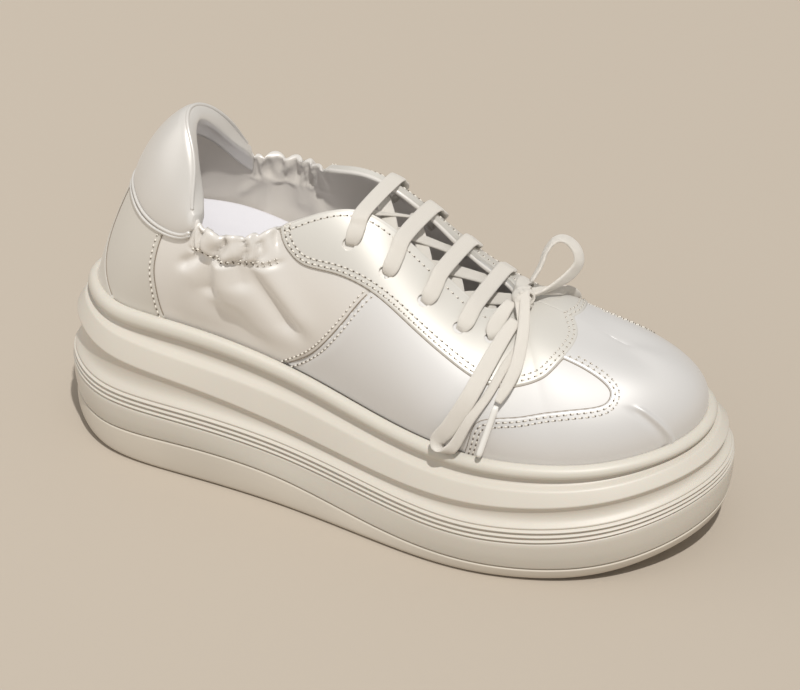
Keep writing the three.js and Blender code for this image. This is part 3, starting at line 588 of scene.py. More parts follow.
loop_axis = np.array([-0.434, 0.817, -0.377])
toe_way = toeward(11.6, 0.4)
bow_up = bow_cord(
    "bow_upper_loop", LOOP_UP + [KNOT + [4, 2, 0.5], KNOT + [1, 2.5, 0.8]] + lay_on(END_SHORT),
    [0, 5, 5, 10, 20, 35, 45, 50, 45, 30, 20, 10, 60, 70, 75, 80, 85],
    [3.6, 4.4, 5, 5.6, 6.2, 6.2, 6.2, 6, 5, 4, 3.5, 3.5, 3.6, 4, 4.2, 4, 2.6],
    loop_axis)
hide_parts("lace_loop_up", "lace_end_short")
bow_side = bow_cord(
    "bow_side_loop", lay_on(LOOP_SIDE) + [KNOT + [0.5, -4, 1.2], KNOT + [2, -3, 2.6]]
    + lay_on(END_LONG),
    [0] * 12 + [10, 20, 10, 0, 0, 0, 0],
    [4.6, 5.6, 6.2, 6.4, 6.4, 6, 5.4, 4.4, 3.6, 3.4, 3.4, 3.4, 3.6, 3.8, 4.2, 4.6, 4.8, 4.4, 2.6],
    toe_way)
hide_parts("lace_loop_side", "lace_end_long")

# The knot: two turns of the lace wrapped round the crossing and pulled tight.
knot_runs = []
for tilt, reach, wide, lift in ((0.3, 4.3, 5.2, 0.0), (-0.9, 3.6, 4.6, 0.5)):
    run = []
    axis = Vector((math.cos(tilt), math.sin(tilt), 0.15)).normalized()
    for a in np.linspace(0, 2 * math.pi, 13):
        spoke = Quaternion(axis, a) @ Vector((0, 0, 1))
        at = KNOT + [0.6, -0.6, lift] + np.array(spoke) * reach * np.array([1, 1.1, 0.75])
        run.append(station(at, np.array(axis), wide))
    knot_runs.append(run)
knot_runs.append([station(KNOT + [-4, 3.5, 0.2], [0.3, 0.2, 1], 4.6),
                  station(KNOT + [0, 0, 0.3], [0.2, 0.2, 1], 5.4),
                  station(KNOT + [4, -3.5, 0.2], [0.3, 0.2, 1], 4.6)])
bow_knot = flat_lace("bow_knot", knot_runs, 0.8)
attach(bow_knot, "root")
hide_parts("lace_knot")

# ---- floor and light -------------------------------------------------------------------------
# A plain warm beige floor, a hard high sun over the outer side of the toe, and wide soft light.
floor_mesh = bpy.data.meshes.new("floor")
FLOOR_HALF = 6.0
floor_mesh.from_pydata([(-FLOOR_HALF, -FLOOR_HALF, 0), (FLOOR_HALF, -FLOOR_HALF, 0),
                        (FLOOR_HALF, FLOOR_HALF, 0), (-FLOOR_HALF, FLOOR_HALF, 0)], [],
                       [(0, 1, 2, 3)])
floor = bpy.data.objects.new("floor", floor_mesh)
floor_finish = material("floor_paper", (0.483, 0.426, 0.358), 0.9, specular_ior_level=0.2)[0]
floor_mesh.materials.append(floor_finish)
bpy.context.collection.objects.link(floor)


def light(name, kind, energy, at, colour, size=None, angle=None):
    lamp = bpy.data.lights.new(name, kind)
    lamp.energy = energy
    lamp.color = colour
    if size:
        lamp.size = size
    if angle:
        lamp.angle = angle
    holder = bpy.data.objects.new(name, lamp)
    holder.location = at
    holder.rotation_euler = (Vector(at) - shoe_middle).to_track_quat("Z", "Y").to_euler()
    bpy.context.collection.objects.link(holder)


SUN_WAY = Vector((0.26, -0.36, 0.90))
light("sun", "SUN", 2.55, shoe_middle + SUN_WAY, (1.0, 0.98, 0.945), angle=math.radians(1.6))
light("heel_fill", "AREA", 3.0, (-1.2, -0.5, 0.7), (1.0, 0.98, 0.95), size=1.0)
world = bpy.data.worlds.new("studio")
world.use_nodes = True
world.node_tree.nodes["Background"].inputs["Color"].default_value = (1.0, 0.975, 0.945, 1)
world.node_tree.nodes["Background"].inputs["Strength"].default_value = 0.45
bpy.context.scene.world = world
bpy.context.scene.view_settings.view_transform = "Standard"

# ---- midsole ---------------------------------------------------------------------------------
# A thick moulded foam sole. From the top: a rounded bead, a fine lip, a cove, a bright ridge,
# a wide hollow band, three fine ribs and a gently full lower band down to the parting line.
LIP = [59, 59, 59, 58.6, 52, 44.8, 43.4, 44.2, 45.8, 47, 47.6]
RIDGE_TOP = [56, 55.6, 54, 50.5, 44.5, 38.8, 38.3, 40.2, 42.8, 44.8, 45.4]
RIDGE_LOW = [50, 49, 46, 42.5, 35.5, 31, 32.2, 35.6, 39, 41.2, 41.8]
RIB_TOP = [32.6, 32.3, 31.8, 31.4, 28, 24.6, 24, 26.6, 30.4, 33.6, 34.6]
RIB_LOW = [26.6, 26.3, 25.8, 25.4, 22, 18.6, 18, 20.6, 25, 28.6, 29.6]
PARTING = [14, 13.5, 13.2, 14.4, 12.4, 7.4, 5.8, 7, 11, 15, 16.4]
GROUND = [8.5, 5.2, 0.8, 0, 0, 0, 0, 1.2, 5.2, 9.2, 10.4]
PARTING_OUT = [-1, -1, -1, -0.5, 0.8, 0.6, -1, -1.5, -1.2, -1, -1]
PARTING_IN = [-1, -1, -1, -1, -1.5, -1.5, -1, -1.2, -1.2, -1, -1]
GROUND_OUT = [-1, -1, -1, -0.6, 1.6, 1, -2, -3, -3, -2.6, -2.6]
GROUND_IN = [-1, -1, -1.4, -2.5, -4, -3.6, -2.4, -2.6, -3, -2.6, -2.6]
GAP = 0.3
SOLE_COLUMNS = 360
lap = np.arange(SOLE_COLUMNS) * SOLE_TURN / SOLE_COLUMNS
bead, lip, ridge_top, ridge_low, rib_top, rib_low, parting, ground = (
    closed_curve(around(row))(lap)
    for row in (BEAD_TOP, LIP, RIDGE_TOP, RIDGE_LOW, RIB_TOP, RIB_LOW, PARTING, GROUND))
parting_out = closed_curve(around(PARTING_OUT, PARTING_IN))(lap)
ground_out = closed_curve(around(GROUND_OUT, GROUND_IN))(lap)


def rounded(profile):
    """Rings of a moulding: profile rows are (offset, height, radius); corners become arcs."""
    rows = [(np.broadcast_to(np.asarray(o, float), lap.shape), h, r) for o, h, r in profile]
    rings = []
    for i, (offset, height, radius) in enumerate(rows):
        here = np.stack([offset, height], 1)
        if radius == 0 or i in (0, len(rows) - 1):
            rings.append(here)
            continue
        before = np.stack(rows[i - 1][:2], 1) - here
        after = np.stack(rows[i + 1][:2], 1) - here
        reach_before = np.linalg.norm(before, axis=1)[:, None]
        reach_after = np.linalg.norm(after, axis=1)[:, None]
        start = here + before / reach_before * np.minimum(radius, reach_before * 0.48)
        end = here + after / reach_after * np.minimum(radius, reach_after * 0.48)
        for t in (0, 0.25, 0.5, 0.75, 1):
            rings.append(start * (1 - t) ** 2 + 2 * here * t * (1 - t) + end * t * t)
    return rings


def stacked(name, rings):
    """A closed solid from rings of equal count, capped by rungs from side to side."""
    count = len(rings[0])
    faces = tube_faces(len(rings), count)
    for base, flip in ((0, False), ((len(rings) - 1) * count, True)):
        for i in range(count // 2):
            quad = [base + k for k in (i, i + 1, count - i - 1, (count - i) % count)]
            quad = list(dict.fromkeys(quad))
            faces.append(tuple(quad[::-1] if flip else quad))
    return faces_outward(piece_mesh(name, np.vstack(rings), faces))


def sole_piece(name, profile):
    """A closed solid from a moulding's rings, capped flat across its first and last."""
    rings = rounded(profile)
    points = []
    for ring in rings:
        edge, _ = sole_edge(lap, ring[:, 0])
        edge[:, 2] = ring[:, 1]
        points.append(edge)
    return stacked(name, points)


def part_way(low, high, part):
    return low + (high - low) * part


ribs = []
for k in range(3):
    top = part_way(rib_top, rib_low, (k + 0.12) / 3)
    crest = part_way(rib_top, rib_low, (k + 0.5) / 3)
    foot = part_way(rib_top, rib_low, (k + 0.88) / 3)
    stand = -1.5 + 0.2 * k
    ribs += [(stand, top, 0.2), (stand + 1.5, crest, 0.7), (stand, foot, 0.2)]
midsole = sole_piece("midsole_foam", [
    (-SEAT_INSET, bead - 6, 0),
    (-SEAT_INSET, bead - 1.2, 0.6),
    (-10.6, bead + 0.1, 1.2),
    (-8.1, bead - 0.9, 1.8),
    (-7.0, part_way(lip, bead, 0.4), 1.3),
    (-7.5, lip + 0.2, 0.25),
    (-9.0, lip - 0.4, 0.3),
    (-9.2, part_way(ridge_top, lip, 0.35), 1.6),
    (-5.8, ridge_top + 0.1, 0.7),
    (-2.4, ridge_low, 0.6),
    (-4.1, part_way(rib_top, ridge_low, 0.74), 2.6),
    (-3.9, part_way(rib_top, ridge_low, 0.3), 3.4),
    (-0.95, rib_top + 0.5, 0.6),
    *ribs,
    (-0.2, rib_low - 0.3, 0.3),
    (0.0, rib_low - 1.6, 1.2),
    (parting_out * 0.4 - 0.1 + 0.35, part_way(parting, rib_low, 0.45), 4.0),
    (parting_out, parting + GAP + 0.5, 0.5),
    (parting_out - 0.6, parting + GAP, 0),
])
foam_finish = grained(
    material("sole_foam", (0.62, 0.58, 0.515), 0.46, coat_weight=0.12, coat_roughness=0.35,
             subsurface_weight=0.04), 700.0, 0.00006, 0.03)
midsole.data.materials.append(foam_finish)
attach(midsole, "root")
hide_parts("midsole")

# ---- outsole ---------------------------------------------------------------------------------
# The rubber that wears: a thin bottom glued on under the parting line, slanted tread grooves
# cut across the heel and the ball.
outsole = sole_piece("outsole_rubber", [
    (parting_out - 0.8, parting, 0),
    (parting_out, parting - 0.3, 0.4),
    (ground_out * 0.8 + parting_out * 0.2 + 0.3, part_way(ground, parting, 0.4), 3.0),
    (ground_out, ground + 1.2, 1.0),
    (ground_out - 1.5, ground, 0.6),
    (ground_out - 3.0, ground, 0),
])
GROOVE_WIDTH, GROOVE_DEPTH, GROOVE_SLANT = 3.2, 1.8, 0.22
bars = bmesh.new()
for x in (44, 58, 72, 150, 164, 178, 192):
    reach = 24 if x < 100 else 32
    for side in (-1, 1):
        middle = np.array([x, side * (reach + 2.5) / 2, 0]) + HEEL_TIP_TO_ORIGIN
        place = (Matrix.Translation(Vector(middle * 0.001))
                 @ Matrix.Rotation(-side * GROOVE_SLANT, 4, "Z")
                 @ Matrix.Diagonal((GROOVE_WIDTH * 0.001, (reach - 2.5) * 0.001,
                                    2 * GROOVE_DEPTH * 0.001, 1)))
        bmesh.ops.create_cube(bars, size=1.0, matrix=place)
bar_mesh = bpy.data.meshes.new("groove_bars")
bars.to_mesh(bar_mesh)
bars.free()
bar_piece = bpy.data.objects.new("groove_bars", bar_mesh)
bpy.context.collection.objects.link(bar_piece)


def cut_away(piece, tool):
    """Cuts the tool's solids out of a closed piece; the tool itself is left in the scene."""
    cut = piece.modifiers.new("cut", "BOOLEAN")
    cut.object = tool
    cut.operation = "DIFFERENCE"
    cut.solver = "MANIFOLD"
    whole = piece.evaluated_get(bpy.context.evaluated_depsgraph_get())
    mesh = bpy.data.meshes.new_from_object(whole)
    before = len(piece.data.polygons)
    piece.modifiers.clear()
    if len(mesh.polygons) > before // 2:
        mesh.name = piece.data.name
        piece.data = mesh
    return len(mesh.polygons) != before


print("grooves cut:", cut_away(outsole, bar_piece))
bpy.data.objects.remove(bar_piece)
rubber_finish = grained(material("outsole_rubber", (0.60, 0.55, 0.475), 0.58),
                        500.0, 0.0001, 0.05)
outsole.data.materials.clear()
outsole.data.materials.append(rubber_finish)
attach(outsole, "root")
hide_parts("outsole")

# ---- insole ----------------------------------------------------------------------------------
# A smooth white sock glued on a thick footbed that fills the shoe up to the foot, high at the
# heel and thin at the toes. Its top is a little hollow and its edge is soft.
FOOTBED_TOP = [92, 92, 91, 87, 78, 66, 59, 57.5, 58, 58.5, 58.5]
FOOTBED_STATIONS = 272
footbed_s = np.arange(FOOTBED_STATIONS) * TURN / FOOTBED_STATIONS
footbed_at = footbed_s * pace + place_shift(footbed_s)
footbed_top = closed_curve(around(FOOTBED_TOP))(footbed_at)
footbed_low = bead_top(footbed_at) - 1.2


def footbed_ring(part, inward=0.0, rise=0.0):
    """A ring on the shoe's inside wall, part of the way up, then moved inward and up."""
    height = footbed_low + (footbed_top - footbed_low) * part
    ring = off_last(footbed_s, wall_v(footbed_s, height), -WALL - 0.7)
    _, out = sole_edge(footbed_at, np.zeros(FOOTBED_STATIONS))
    return ring - out * inward + [0, 0, rise]


footbed_foot, _ = sole_edge(
    footbed_at, np.full(FOOTBED_STATIONS, -SEAT_INSET - 0.45 - WALL - 0.7))
footbed_foot[:, 2] = bead_top(footbed_at) - 6 + GAP
insole = stacked("insole_sock", [footbed_foot] + [footbed_ring(k / 5) for k in range(5)] + [
    footbed_ring(0.97), footbed_ring(1, 0.25, 0.3), footbed_ring(1, 0.9, 0.6),
    footbed_ring(1, 2.2, 0.5), footbed_ring(1, 5, -0.6), footbed_ring(1, 9, -1.9),
    footbed_ring(1, 13, -2.3)])
sock_finish = grained(material("sock_cloth", (0.76, 0.755, 0.80), 0.8, sheen_weight=0.15),
                      1500.0, 0.0001, 0.03)
insole.data.materials.append(sock_finish)
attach(insole, "root")
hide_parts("insole")

# ---- upper -----------------------------------------------------------------------------------
# Soft pearly leather lasted over the foot and lined with pale suede, about 2 mm in all. The
# elastic at the collar gathers it into puffs, and soft folds run down from them.
COLUMNS, ROWS = 34 * 15, 72
LINING_WRINKLE = 0.42
lap_s = np.arange(COLUMNS) * TURN / COLUMNS
row_v = np.concatenate([[0], np.linspace(0, 1, ROWS) ** 0.92])


def is_open(s):
    return np.abs(np.mod(s, TURN) - TURN / 2) > TURN / 2 - SPINE_START + 1e-6


grid_s, grid_v = np.meshgrid(lap_s, row_v[1:], indexing="ij")
fade_rim = np.clip((1 - grid_v) / 0.02, 0, 1) ** 0.5
outer = skin(grid_s, grid_v, np.where(is_open(grid_s), -0.35 * (1 - fade_rim), 0))
side_s = np.minimum(grid_s, TURN - grid_s)
gather = np.exp(-((side_s - 5.9) / 0.95) ** 4) * np.clip((grid_v - 0.70) / 0.08, 0, 1)
wrinkle = gather * LINING_WRINKLE * (
    np.sin(side_s * 21 + 9 * grid_v + 1.4 * np.sin(side_s * 5.1))
    + 0.5 * np.sin(side_s * 43 + grid_v * 17 + 2 * np.sin(side_s * 7)))
inner_sink = -WALL + np.where(is_open(grid_s), 0.35 * (1 - fade_rim), 0) - wrinkle
inner = skin(grid_s, grid_v, -0.55 * relief(grid_s, grid_v) + inner_sink)
seat_outer = outer[:, :1].copy()
seat_outer[..., 2] -= 4.5
seat_inner = inner[:, :1].copy()
seat_inner[..., 2] -= 4.5
# where both sides meet over the vamp they share the middle line
meets = ~is_open(lap_s)
mirror = (COLUMNS - np.arange(COLUMNS)) % COLUMNS
for skin_rows in (outer, inner):
    shared = (skin_rows[:, -1] + skin_rows[mirror, -1]) / 2
    skin_rows[meets, -1] = shared[meets]
rim = skin(lap_s, np.ones(COLUMNS), np.full(COLUMNS, -WALL / 2))
rise_way = on_last(lap_s, np.ones(COLUMNS)) - on_last(lap_s, np.full(COLUMNS, 0.97))
rim += rise_way / np.linalg.norm(rise_way, axis=1)[:, None] * 0.5
sections = np.concatenate([seat_outer, outer, rim[:, None], inner[:, ::-1], seat_inner], 1)
count = sections.shape[1]
rim_at = 1 + ROWS
shell_faces, shell_slots = [], []
for i in range(COLUMNS):
    n = (i + 1) % COLUMNS
    closed_here = meets[i] and meets[n]
    for k in range(count):
        m = (k + 1) % count
        if closed_here and k in (rim_at - 1, rim_at):
            continue
        shell_faces.append((i * count + k, n * count + k, n * count + m, i * count + m))
        shell_slots.append(0 if k <= rim_at else 1)
points = sections.reshape(-1, 3)
upper = piece_mesh("upper_leather", points, shell_faces)
upper.data.polygons.foreach_set("material_index", shell_slots)
work = bmesh.new()
work.from_mesh(upper.data)
loose = [v for v in work.verts if not v.link_faces]
bmesh.ops.delete(work, geom=loose, context="VERTS")
bmesh.ops.remove_doubles(work, verts=work.verts, dist=0.00002)
work.to_mesh(upper.data)
work.free()
faces_outward(upper)


def pearl(name, colour, roughness, glow, grain_height, shift):
    """Leather with a pearl finish: a faint metal sheen under a thin clear coat."""
    return grained(material(name, colour, roughness, metallic=glow, coat_weight=0.12,
                            coat_roughness=0.4, sheen_weight=0.1), 1300.0, grain_height, shift)


QUARTER = (0.775, 0.745, 0.705)
quarter_finish = pearl("satin_leather", QUARTER, 0.38, 0.16, 0.00004, 0.03)
lining_finish = grained(material("lining_suede", (0.66, 0.62, 0.57), 0.85, sheen_weight=0.2),
                        1800.0, 0.00008, 0.06)
upper.data.materials.append(quarter_finish)
upper.data.materials.append(lining_finish)

# The eyelet bores. They go through both eyestays; the cut in this leather under them fails
# and leaves it whole.
holes = bmesh.new()
for row in range(5):
    for side in (-1, 1):
        s, v = eyelet_place(row, side)
        low, high = off_last(s, v, -6), off_last(s, v, 6)
        way = Vector(high - low).normalized()
        place = (Matrix.Translation(Vector(to_metres((low + high) / 2)))
                 @ way.to_track_quat("Z", "Y").to_matrix().to_4x4())
        bmesh.ops.create_cone(holes, cap_ends=True, segments=20, radius1=EYELET_BORE * 0.0005,
                              radius2=EYELET_BORE * 0.0005, depth=0.012, matrix=place)
hole_mesh = bpy.data.meshes.new("eyelet_bores")
holes.to_mesh(hole_mesh)
holes.free()
hole_piece = bpy.data.objects.new("eyelet_bores", hole_mesh)
bpy.context.collection.objects.link(hole_piece)
print("eyelets cut in upper:", cut_away(upper, hole_piece))
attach(upper, "root")
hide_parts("upper")

# ---- overlays --------------------------------------------------------------------------------
# Pieces of the same leather sewn on top, with raw edges turned down: the eyestay with its
# rounded tongue over the vamp, the toe cap with its strip, the heel counter and the back stay.
def curve_sv(points, count=160):
    return smooth_path(points, 1.0 / count)[:, :2]


def inside(s, v, outline):
    """Even-odd test of many places against a closed outline, both in (s, v)."""
    hit = np.zeros(s.shape, bool)
    a = outline
    b = np.roll(outline, -1, 0)
    for (s0, v0), (s1, v1) in zip(a, b):
        if v0 == v1:
            continue
        crosses = ((v0 > v) != (v1 > v)) & (s < (s1 - s0) * (v - v0) / (v1 - v0) + s0)
        hit ^= crosses
    return hit


def edge_distance(places, edge):
    """How far each place lies from an edge curve, both as points in millimetres."""
    flat = places.reshape(-1, 3)
    nearest = np.full(len(flat), 1e9)
    for a, b in zip(edge[:-1], edge[1:]):
        ab = b - a
        t = np.clip(((flat - a) @ ab) / max(ab @ ab, 1e-9), 0, 1)
        nearest = np.minimum(nearest, np.linalg.norm(flat - a - t[:, None] * ab, axis=1))
    return nearest.reshape(places.shape[:-1])


def overlay(name, s_range, v_range, cells, outlines, edges, thickness, finish, base=0.0):
    """A leather overlay: the last's surface inside the outlines, raised by its thickness and
    rounded down at its edges into the leather below."""
    s_line = np.linspace(*s_range, cells[0])
    v_line = np.linspace(*v_range, cells[1])
    s, v = np.meshgrid(s_line, v_line, indexing="ij")
    within = np.zeros(s.shape, bool)
    for outline in outlines:
        within ^= inside(s, v, outline)
    places = on_last(s, v)
    away = np.full(s.shape, 1e9)
    for edge in edges:
        away = np.minimum(away, edge_distance(places, on_last(edge[:, 0], edge[:, 1])))
    signed = np.where(within, away, -away)
    part = np.clip((signed + 0.25) / 0.7, 0, 1)
    lift = base - 0.5 + (thickness + 0.5) * np.sqrt(1 - (1 - part) ** 2)
    top = off_last(s, v, relief(s, v) + lift)
    under = off_last(s, v, relief(s, v) + base - 0.6)
    keep = signed > -0.9
    # a piece that lies over the middle of the vamp is joined along it, without a cut wall
    crown = abs(sum(s_range) - TURN) < 1e-6 and v_range[1] == 1
    if crown:
        for places in (top, under):
            places[:, -1] = (places[:, -1] + places[::-1, -1]) / 2
    rows, columns = s.shape
    faces, walls = [], []
    number = np.arange(rows * columns).reshape(s.shape)
    shift = rows * columns
    cell = keep[:-1, :-1] & keep[1:, :-1] & keep[1:, 1:] & keep[:-1, 1:]
    for i, j in zip(*np.nonzero(cell)):
        a, b, c, d = number[i, j], number[i + 1, j], number[i + 1, j + 1], number[i, j + 1]
        faces.append((a, b, c, d))
        faces.append((a + shift, d + shift, c + shift, b + shift))
        for (p, q), (di, dj) in (((a, b), (0, -1)), ((b, c), (1, 0)), ((c, d), (0, 1)),
                                 ((d, a), (-1, 0))):
            ni, nj = i + di, j + dj
            if 0 <= ni < rows - 1 and 0 <= nj < columns - 1 and cell[ni, nj]:
                continue
            if crown and nj == columns - 1:
                continue
            walls.append(len(faces))
            faces.append((q, p, p + shift, q + shift))
    piece = piece_mesh(name, np.vstack([top.reshape(-1, 3), under.reshape(-1, 3)]), faces)
    # the cut walls are flat, so the surface keeps its shine up to the middle of the vamp
    for k in walls:
        piece.data.polygons[k].use_smooth = False
    work = bmesh.new()
    work.from_mesh(piece.data)
    bmesh.ops.delete(work, geom=[v for v in work.verts if not v.link_faces], context="VERTS")
    if crown:
        bmesh.ops.remove_doubles(work, verts=work.verts, dist=0.00001)
    work.to_mesh(piece.data)
    work.free()
    faces_outward(piece)
    piece.data.materials.append(finish)
    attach(piece, "root")
    return piece


def other_side(curve):
    return np.stack([TURN - curve[:, 0], curve[:, 1]], 1)


eyestay_edge = curve_sv([[6.95, 1.06], [7.0, 0.96], [7.25, 0.82], [7.7, 0.705], [8.6, 0.645],
                         [9.7, 0.61], [10.9, 0.57], [12.0, 0.525], [12.6, 0.515], [13.1, 0.55],
                         [13.55, 0.66], [13.95, 0.79], [14.18, 0.90], [14.25, 1.0],
                         [14.27, 1.06]])
toe_edge = curve_sv([[10.9, -0.05], [11.05, 0.06], [11.4, 0.24], [11.9, 0.315], [12.6, 0.345],
                     [13.4, 0.385], [13.95, 0.41], [14.2, 0.445], [14.32, 0.51], [14.2, 0.58],
                     [13.9, 0.645], [13.5, 0.69]])
PEARL = (0.69, 0.67, 0.625)
eyestay_finish = pearl("pearl_leather", PEARL, 0.46, 0.25, 0.00003, 0.03)
toe_finish = pearl("silver_pearl_leather", (0.71, 0.70, 0.69), 0.42, 0.26, 0.00003, 0.03)
white_finish = pearl("smooth_white_leather", (0.71, 0.70, 0.69), 0.52, 0.06, 0.00003, 0.02)

# front quarter and vamp lining that show between the overlays: smooth white leather
diagonal = curve_sv([[6.66, -0.05], [6.72, 0.0], [7.3, 0.17], [7.9, 0.335], [8.5, 0.475],
                     [9.1, 0.61], [9.4, 0.68]])
for side, name in ((-1, "front_quarter_outer"), (1, "front_quarter_inner")):
    edge = diagonal if side < 0 else other_side(diagonal)
    far = 17.0
    outline = np.vstack([diagonal, [[9.6, 0.9], [13.0, 1.2], [far, 1.2], [far, -0.05]]])
    outline = outline if side < 0 else other_side(outline)
    s_range = (6.4, far) if side < 0 else (TURN - far, TURN - 6.4)
    overlay(name, s_range, (0.0, 1.0), (200, 70), [outline], [edge], 0.28, white_finish)

for side, name in ((-1, "eyestay_outer"), (1, "eyestay_inner")):
    edge = eyestay_edge if side < 0 else other_side(eyestay_edge)
    throat = curve_sv([[6.9, 0.992], [9.0, 0.992], [11.0, 0.992], [12.7, 0.992], [12.98, 0.999]])
    throat = throat if side < 0 else other_side(throat)
    s_range = (6.8, 14.4) if side < 0 else (TURN - 14.4, TURN - 6.8)
    piece = overlay(name, s_range, (0.48, 1.0), (330, 110), [edge], [edge, throat], 1.0,
                    eyestay_finish, base=0.28)
    cut_away(piece, hole_piece)
    piece.data.materials.clear()
    piece.data.materials.append(eyestay_finish)
bpy.data.objects.remove(hole_piece)

toe_outline = np.vstack([toe_edge, [[13.0, 0.80], [13.4, 1.2], [17.0, 1.2]],
                         other_side(np.vstack([toe_edge, [[13.0, 0.80], [13.4, 1.2]]]))[::-1]])
overlay("toe_cap", (10.7, 23.3), (0.0, 1.0), (420, 130), [toe_outline],
        [toe_edge, other_side(toe_edge)], 0.75, toe_finish, base=0.28)

counter_edge = curve_sv([[4.22, -0.05], [4.2, 0.0], [3.9, 0.22], [3.42, 0.42], [3.05, 0.58],
                         [3.0, 0.68], [3.05, 0.80]])
counter_outline = np.vstack([counter_edge, other_side(counter_edge)[::-1] - [TURN, 0]])
counter_finish = pearl("counter_leather", (0.68, 0.655, 0.605), 0.38, 0.22, 0.00003, 0.03)
overlay("heel_counter", (-4.4, 4.4), (0.0, 0.78), (220, 90), [counter_outline],
        [counter_edge, other_side(counter_edge) - [TURN, 0]], 0.7, counter_finish)
stay_edge = curve_sv([[2.45, -0.05], [2.3, 0.0], [1.3, 0.15], [0.62, 0.30], [0.42, 0.45],
                      [0.38, 0.66]])
stay_outline = np.vstack([stay_edge, other_side(stay_edge)[::-1] - [TURN, 0]])
overlay("back_stay", (-2.7, 2.7), (0.0, 0.66), (120, 90), [stay_outline],
        [stay_edge, other_side(stay_edge) - [TURN, 0]], 0.55, counter_finish, base=0.7)

# ---- padded heel tab -------------------------------------------------------------------------
# A foam-filled tab of pearl leather that folds over the heel's top line, with a rolled edge
# and a double welt along its lower seam.
TAB_SEAM_BACK, TAB_SEAM_DIP, TAB_DIP_AT = 111.5, 104.5, 3.2
TAB_END, PAD_THICK, PAD_INSIDE = 4.45, 3.2, 1.8


def tab_seam_v(s):
    """How high on the wall the tab's lower seam runs at each station."""
    part = np.abs(s)
    fall = np.cos(np.minimum(part / TAB_DIP_AT, 1) * math.pi) * 0.5 + 0.5
    height = TAB_SEAM_DIP + (TAB_SEAM_BACK - TAB_SEAM_DIP) * fall
    height = height + 3 * np.clip(part - TAB_DIP_AT, 0, None) ** 2
    return wall_v(s, height)


TAB_STATIONS = 181
tab_s = np.linspace(-TAB_END, TAB_END, TAB_STATIONS)
seam_v = tab_seam_v(tab_s)
end_fade = np.sqrt(np.clip(1 - (np.abs(tab_s) / (TAB_END + 0.02)) ** 8, 0, 1))
rim_way = (on_last(tab_s, np.ones(TAB_STATIONS))
           - on_last(tab_s, np.full(TAB_STATIONS, 0.96)))
rim_way /= np.linalg.norm(rim_way, axis=1)[:, None]
tab_rows = []
for part in np.linspace(0, 1, 30):
    v = seam_v + (0.985 - seam_v) * part
    pad = 0.5 + (PAD_THICK - 0.5) * math.sin(math.pi * min(1, part * 0.66 + 0.03)) ** 0.5
    tab_rows.append(off_last(tab_s, v, 0.3 + pad * (0.25 + 0.75 * end_fade)))
for turn in np.linspace(0.08, 0.92, 9):
    a = math.pi * turn
    middle_lift = (PAD_THICK * 0.8 - WALL - PAD_INSIDE) / 2
    half_lift = (PAD_THICK * 0.8 + WALL + PAD_INSIDE) / 2
    lift = middle_lift + half_lift * math.cos(a)
    up = 0.9 + 1.3 * math.sin(a) ** 0.6
    tab_rows.append(off_last(tab_s, np.ones(TAB_STATIONS), lift * (0.35 + 0.65 * end_fade))
                    + rim_way * up)
for k in range(8):
    v = np.full(TAB_STATIONS, 0.985 - 0.025 * k)
    inside_pad = PAD_INSIDE * (1 - 0.10 * k) * (0.3 + 0.7 * end_fade)
    tab_rows.append(off_last(tab_s, v, -WALL - 0.3 - inside_pad))
for k in range(8)[::-1]:
    tab_rows.append(off_last(tab_s, np.full(TAB_STATIONS, 0.985 - 0.025 * k),
                             np.full(TAB_STATIONS, -WALL + 0.4)))
for part in np.linspace(1, 0, 10):
    tab_rows.append(off_last(tab_s, seam_v + (0.985 - seam_v) * part,
                             np.full(TAB_STATIONS, -0.4)))
tab_rings = np.stack(tab_rows, 1)
count = tab_rings.shape[1]
faces = tube_faces(TAB_STATIONS, count)
points = list(tab_rings.reshape(-1, 3))
for base, flip in ((0, False), ((TAB_STATIONS - 1) * count, True)):
    centre = len(points)
    points.append(np.mean(points[base:base + count], axis=0))
    for k in range(count):
        tri = (base + k, base + (k + 1) % count, centre)
        faces.append(tri if flip else tri[::-1])
tab = faces_outward(piece_mesh("heel_tab", points, faces))
tab_finish = pearl("tab_leather", (0.68, 0.66, 0.63), 0.38, 0.22, 0.00003, 0.03)
tab.data.materials.append(tab_finish)
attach(tab, "root")
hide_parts("heel_collar")

# ---- welts and stitches ----------------------------------------------------------------------
# Rolled leather welts along the tab's seams, and rows of white thread beside every seam.
def cord_mesh(name, paths, radius, finish, sides=8):
    """Round cords along paths of points, as one mesh."""
    points, faces = [], []
    for path in paths:
        path = np.asarray(path)
        along = np.gradient(path, axis=0)
        along /= np.linalg.norm(along, axis=1)[:, None]
        side = np.cross(along, [0.13, 0.11, 0.98])
        side /= np.linalg.norm(side, axis=1)[:, None]
        up = np.cross(along, side)
        base = len(points)
        for i in range(len(path)):
            shrink = 0.35 if i in (0, len(path) - 1) else 1
            for a in np.linspace(0, 2 * math.pi, sides, endpoint=False):
                points.append(path[i] + (side[i] * math.cos(a) + up[i] * math.sin(a))
                              * radius * shrink)
        faces += [tuple(base + k for k in f) for f in tube_faces(len(path), sides)]
        faces.append(tuple(base + k for k in range(sides))[::-1])
        faces.append(tuple(base + (len(path) - 1) * sides + k for k in range(sides)))
    piece = faces_outward(piece_mesh(name, points, faces))
    piece.data.materials.append(finish)
    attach(piece, "root")
    return piece


WELT_STATIONS = 160
welt_s = np.linspace(-4.3, 4.3, WELT_STATIONS)
welt_v = tab_seam_v(welt_s)
top_roll = off_last(
    tab_s, np.ones(TAB_STATIONS), PAD_THICK * 0.62 * (0.35 + 0.65 * end_fade)) + rim_way * 1.7
cord_mesh("tab_welts", [
    off_last(welt_s, welt_v - 0.008, np.full(WELT_STATIONS, 1.3)),
    off_last(welt_s, welt_v - 0.034, np.full(WELT_STATIONS, 1.0)),
], 0.85, tab_finish)
cord_mesh("tab_rolls", [top_roll[6:-6]], 0.75, tab_finish)


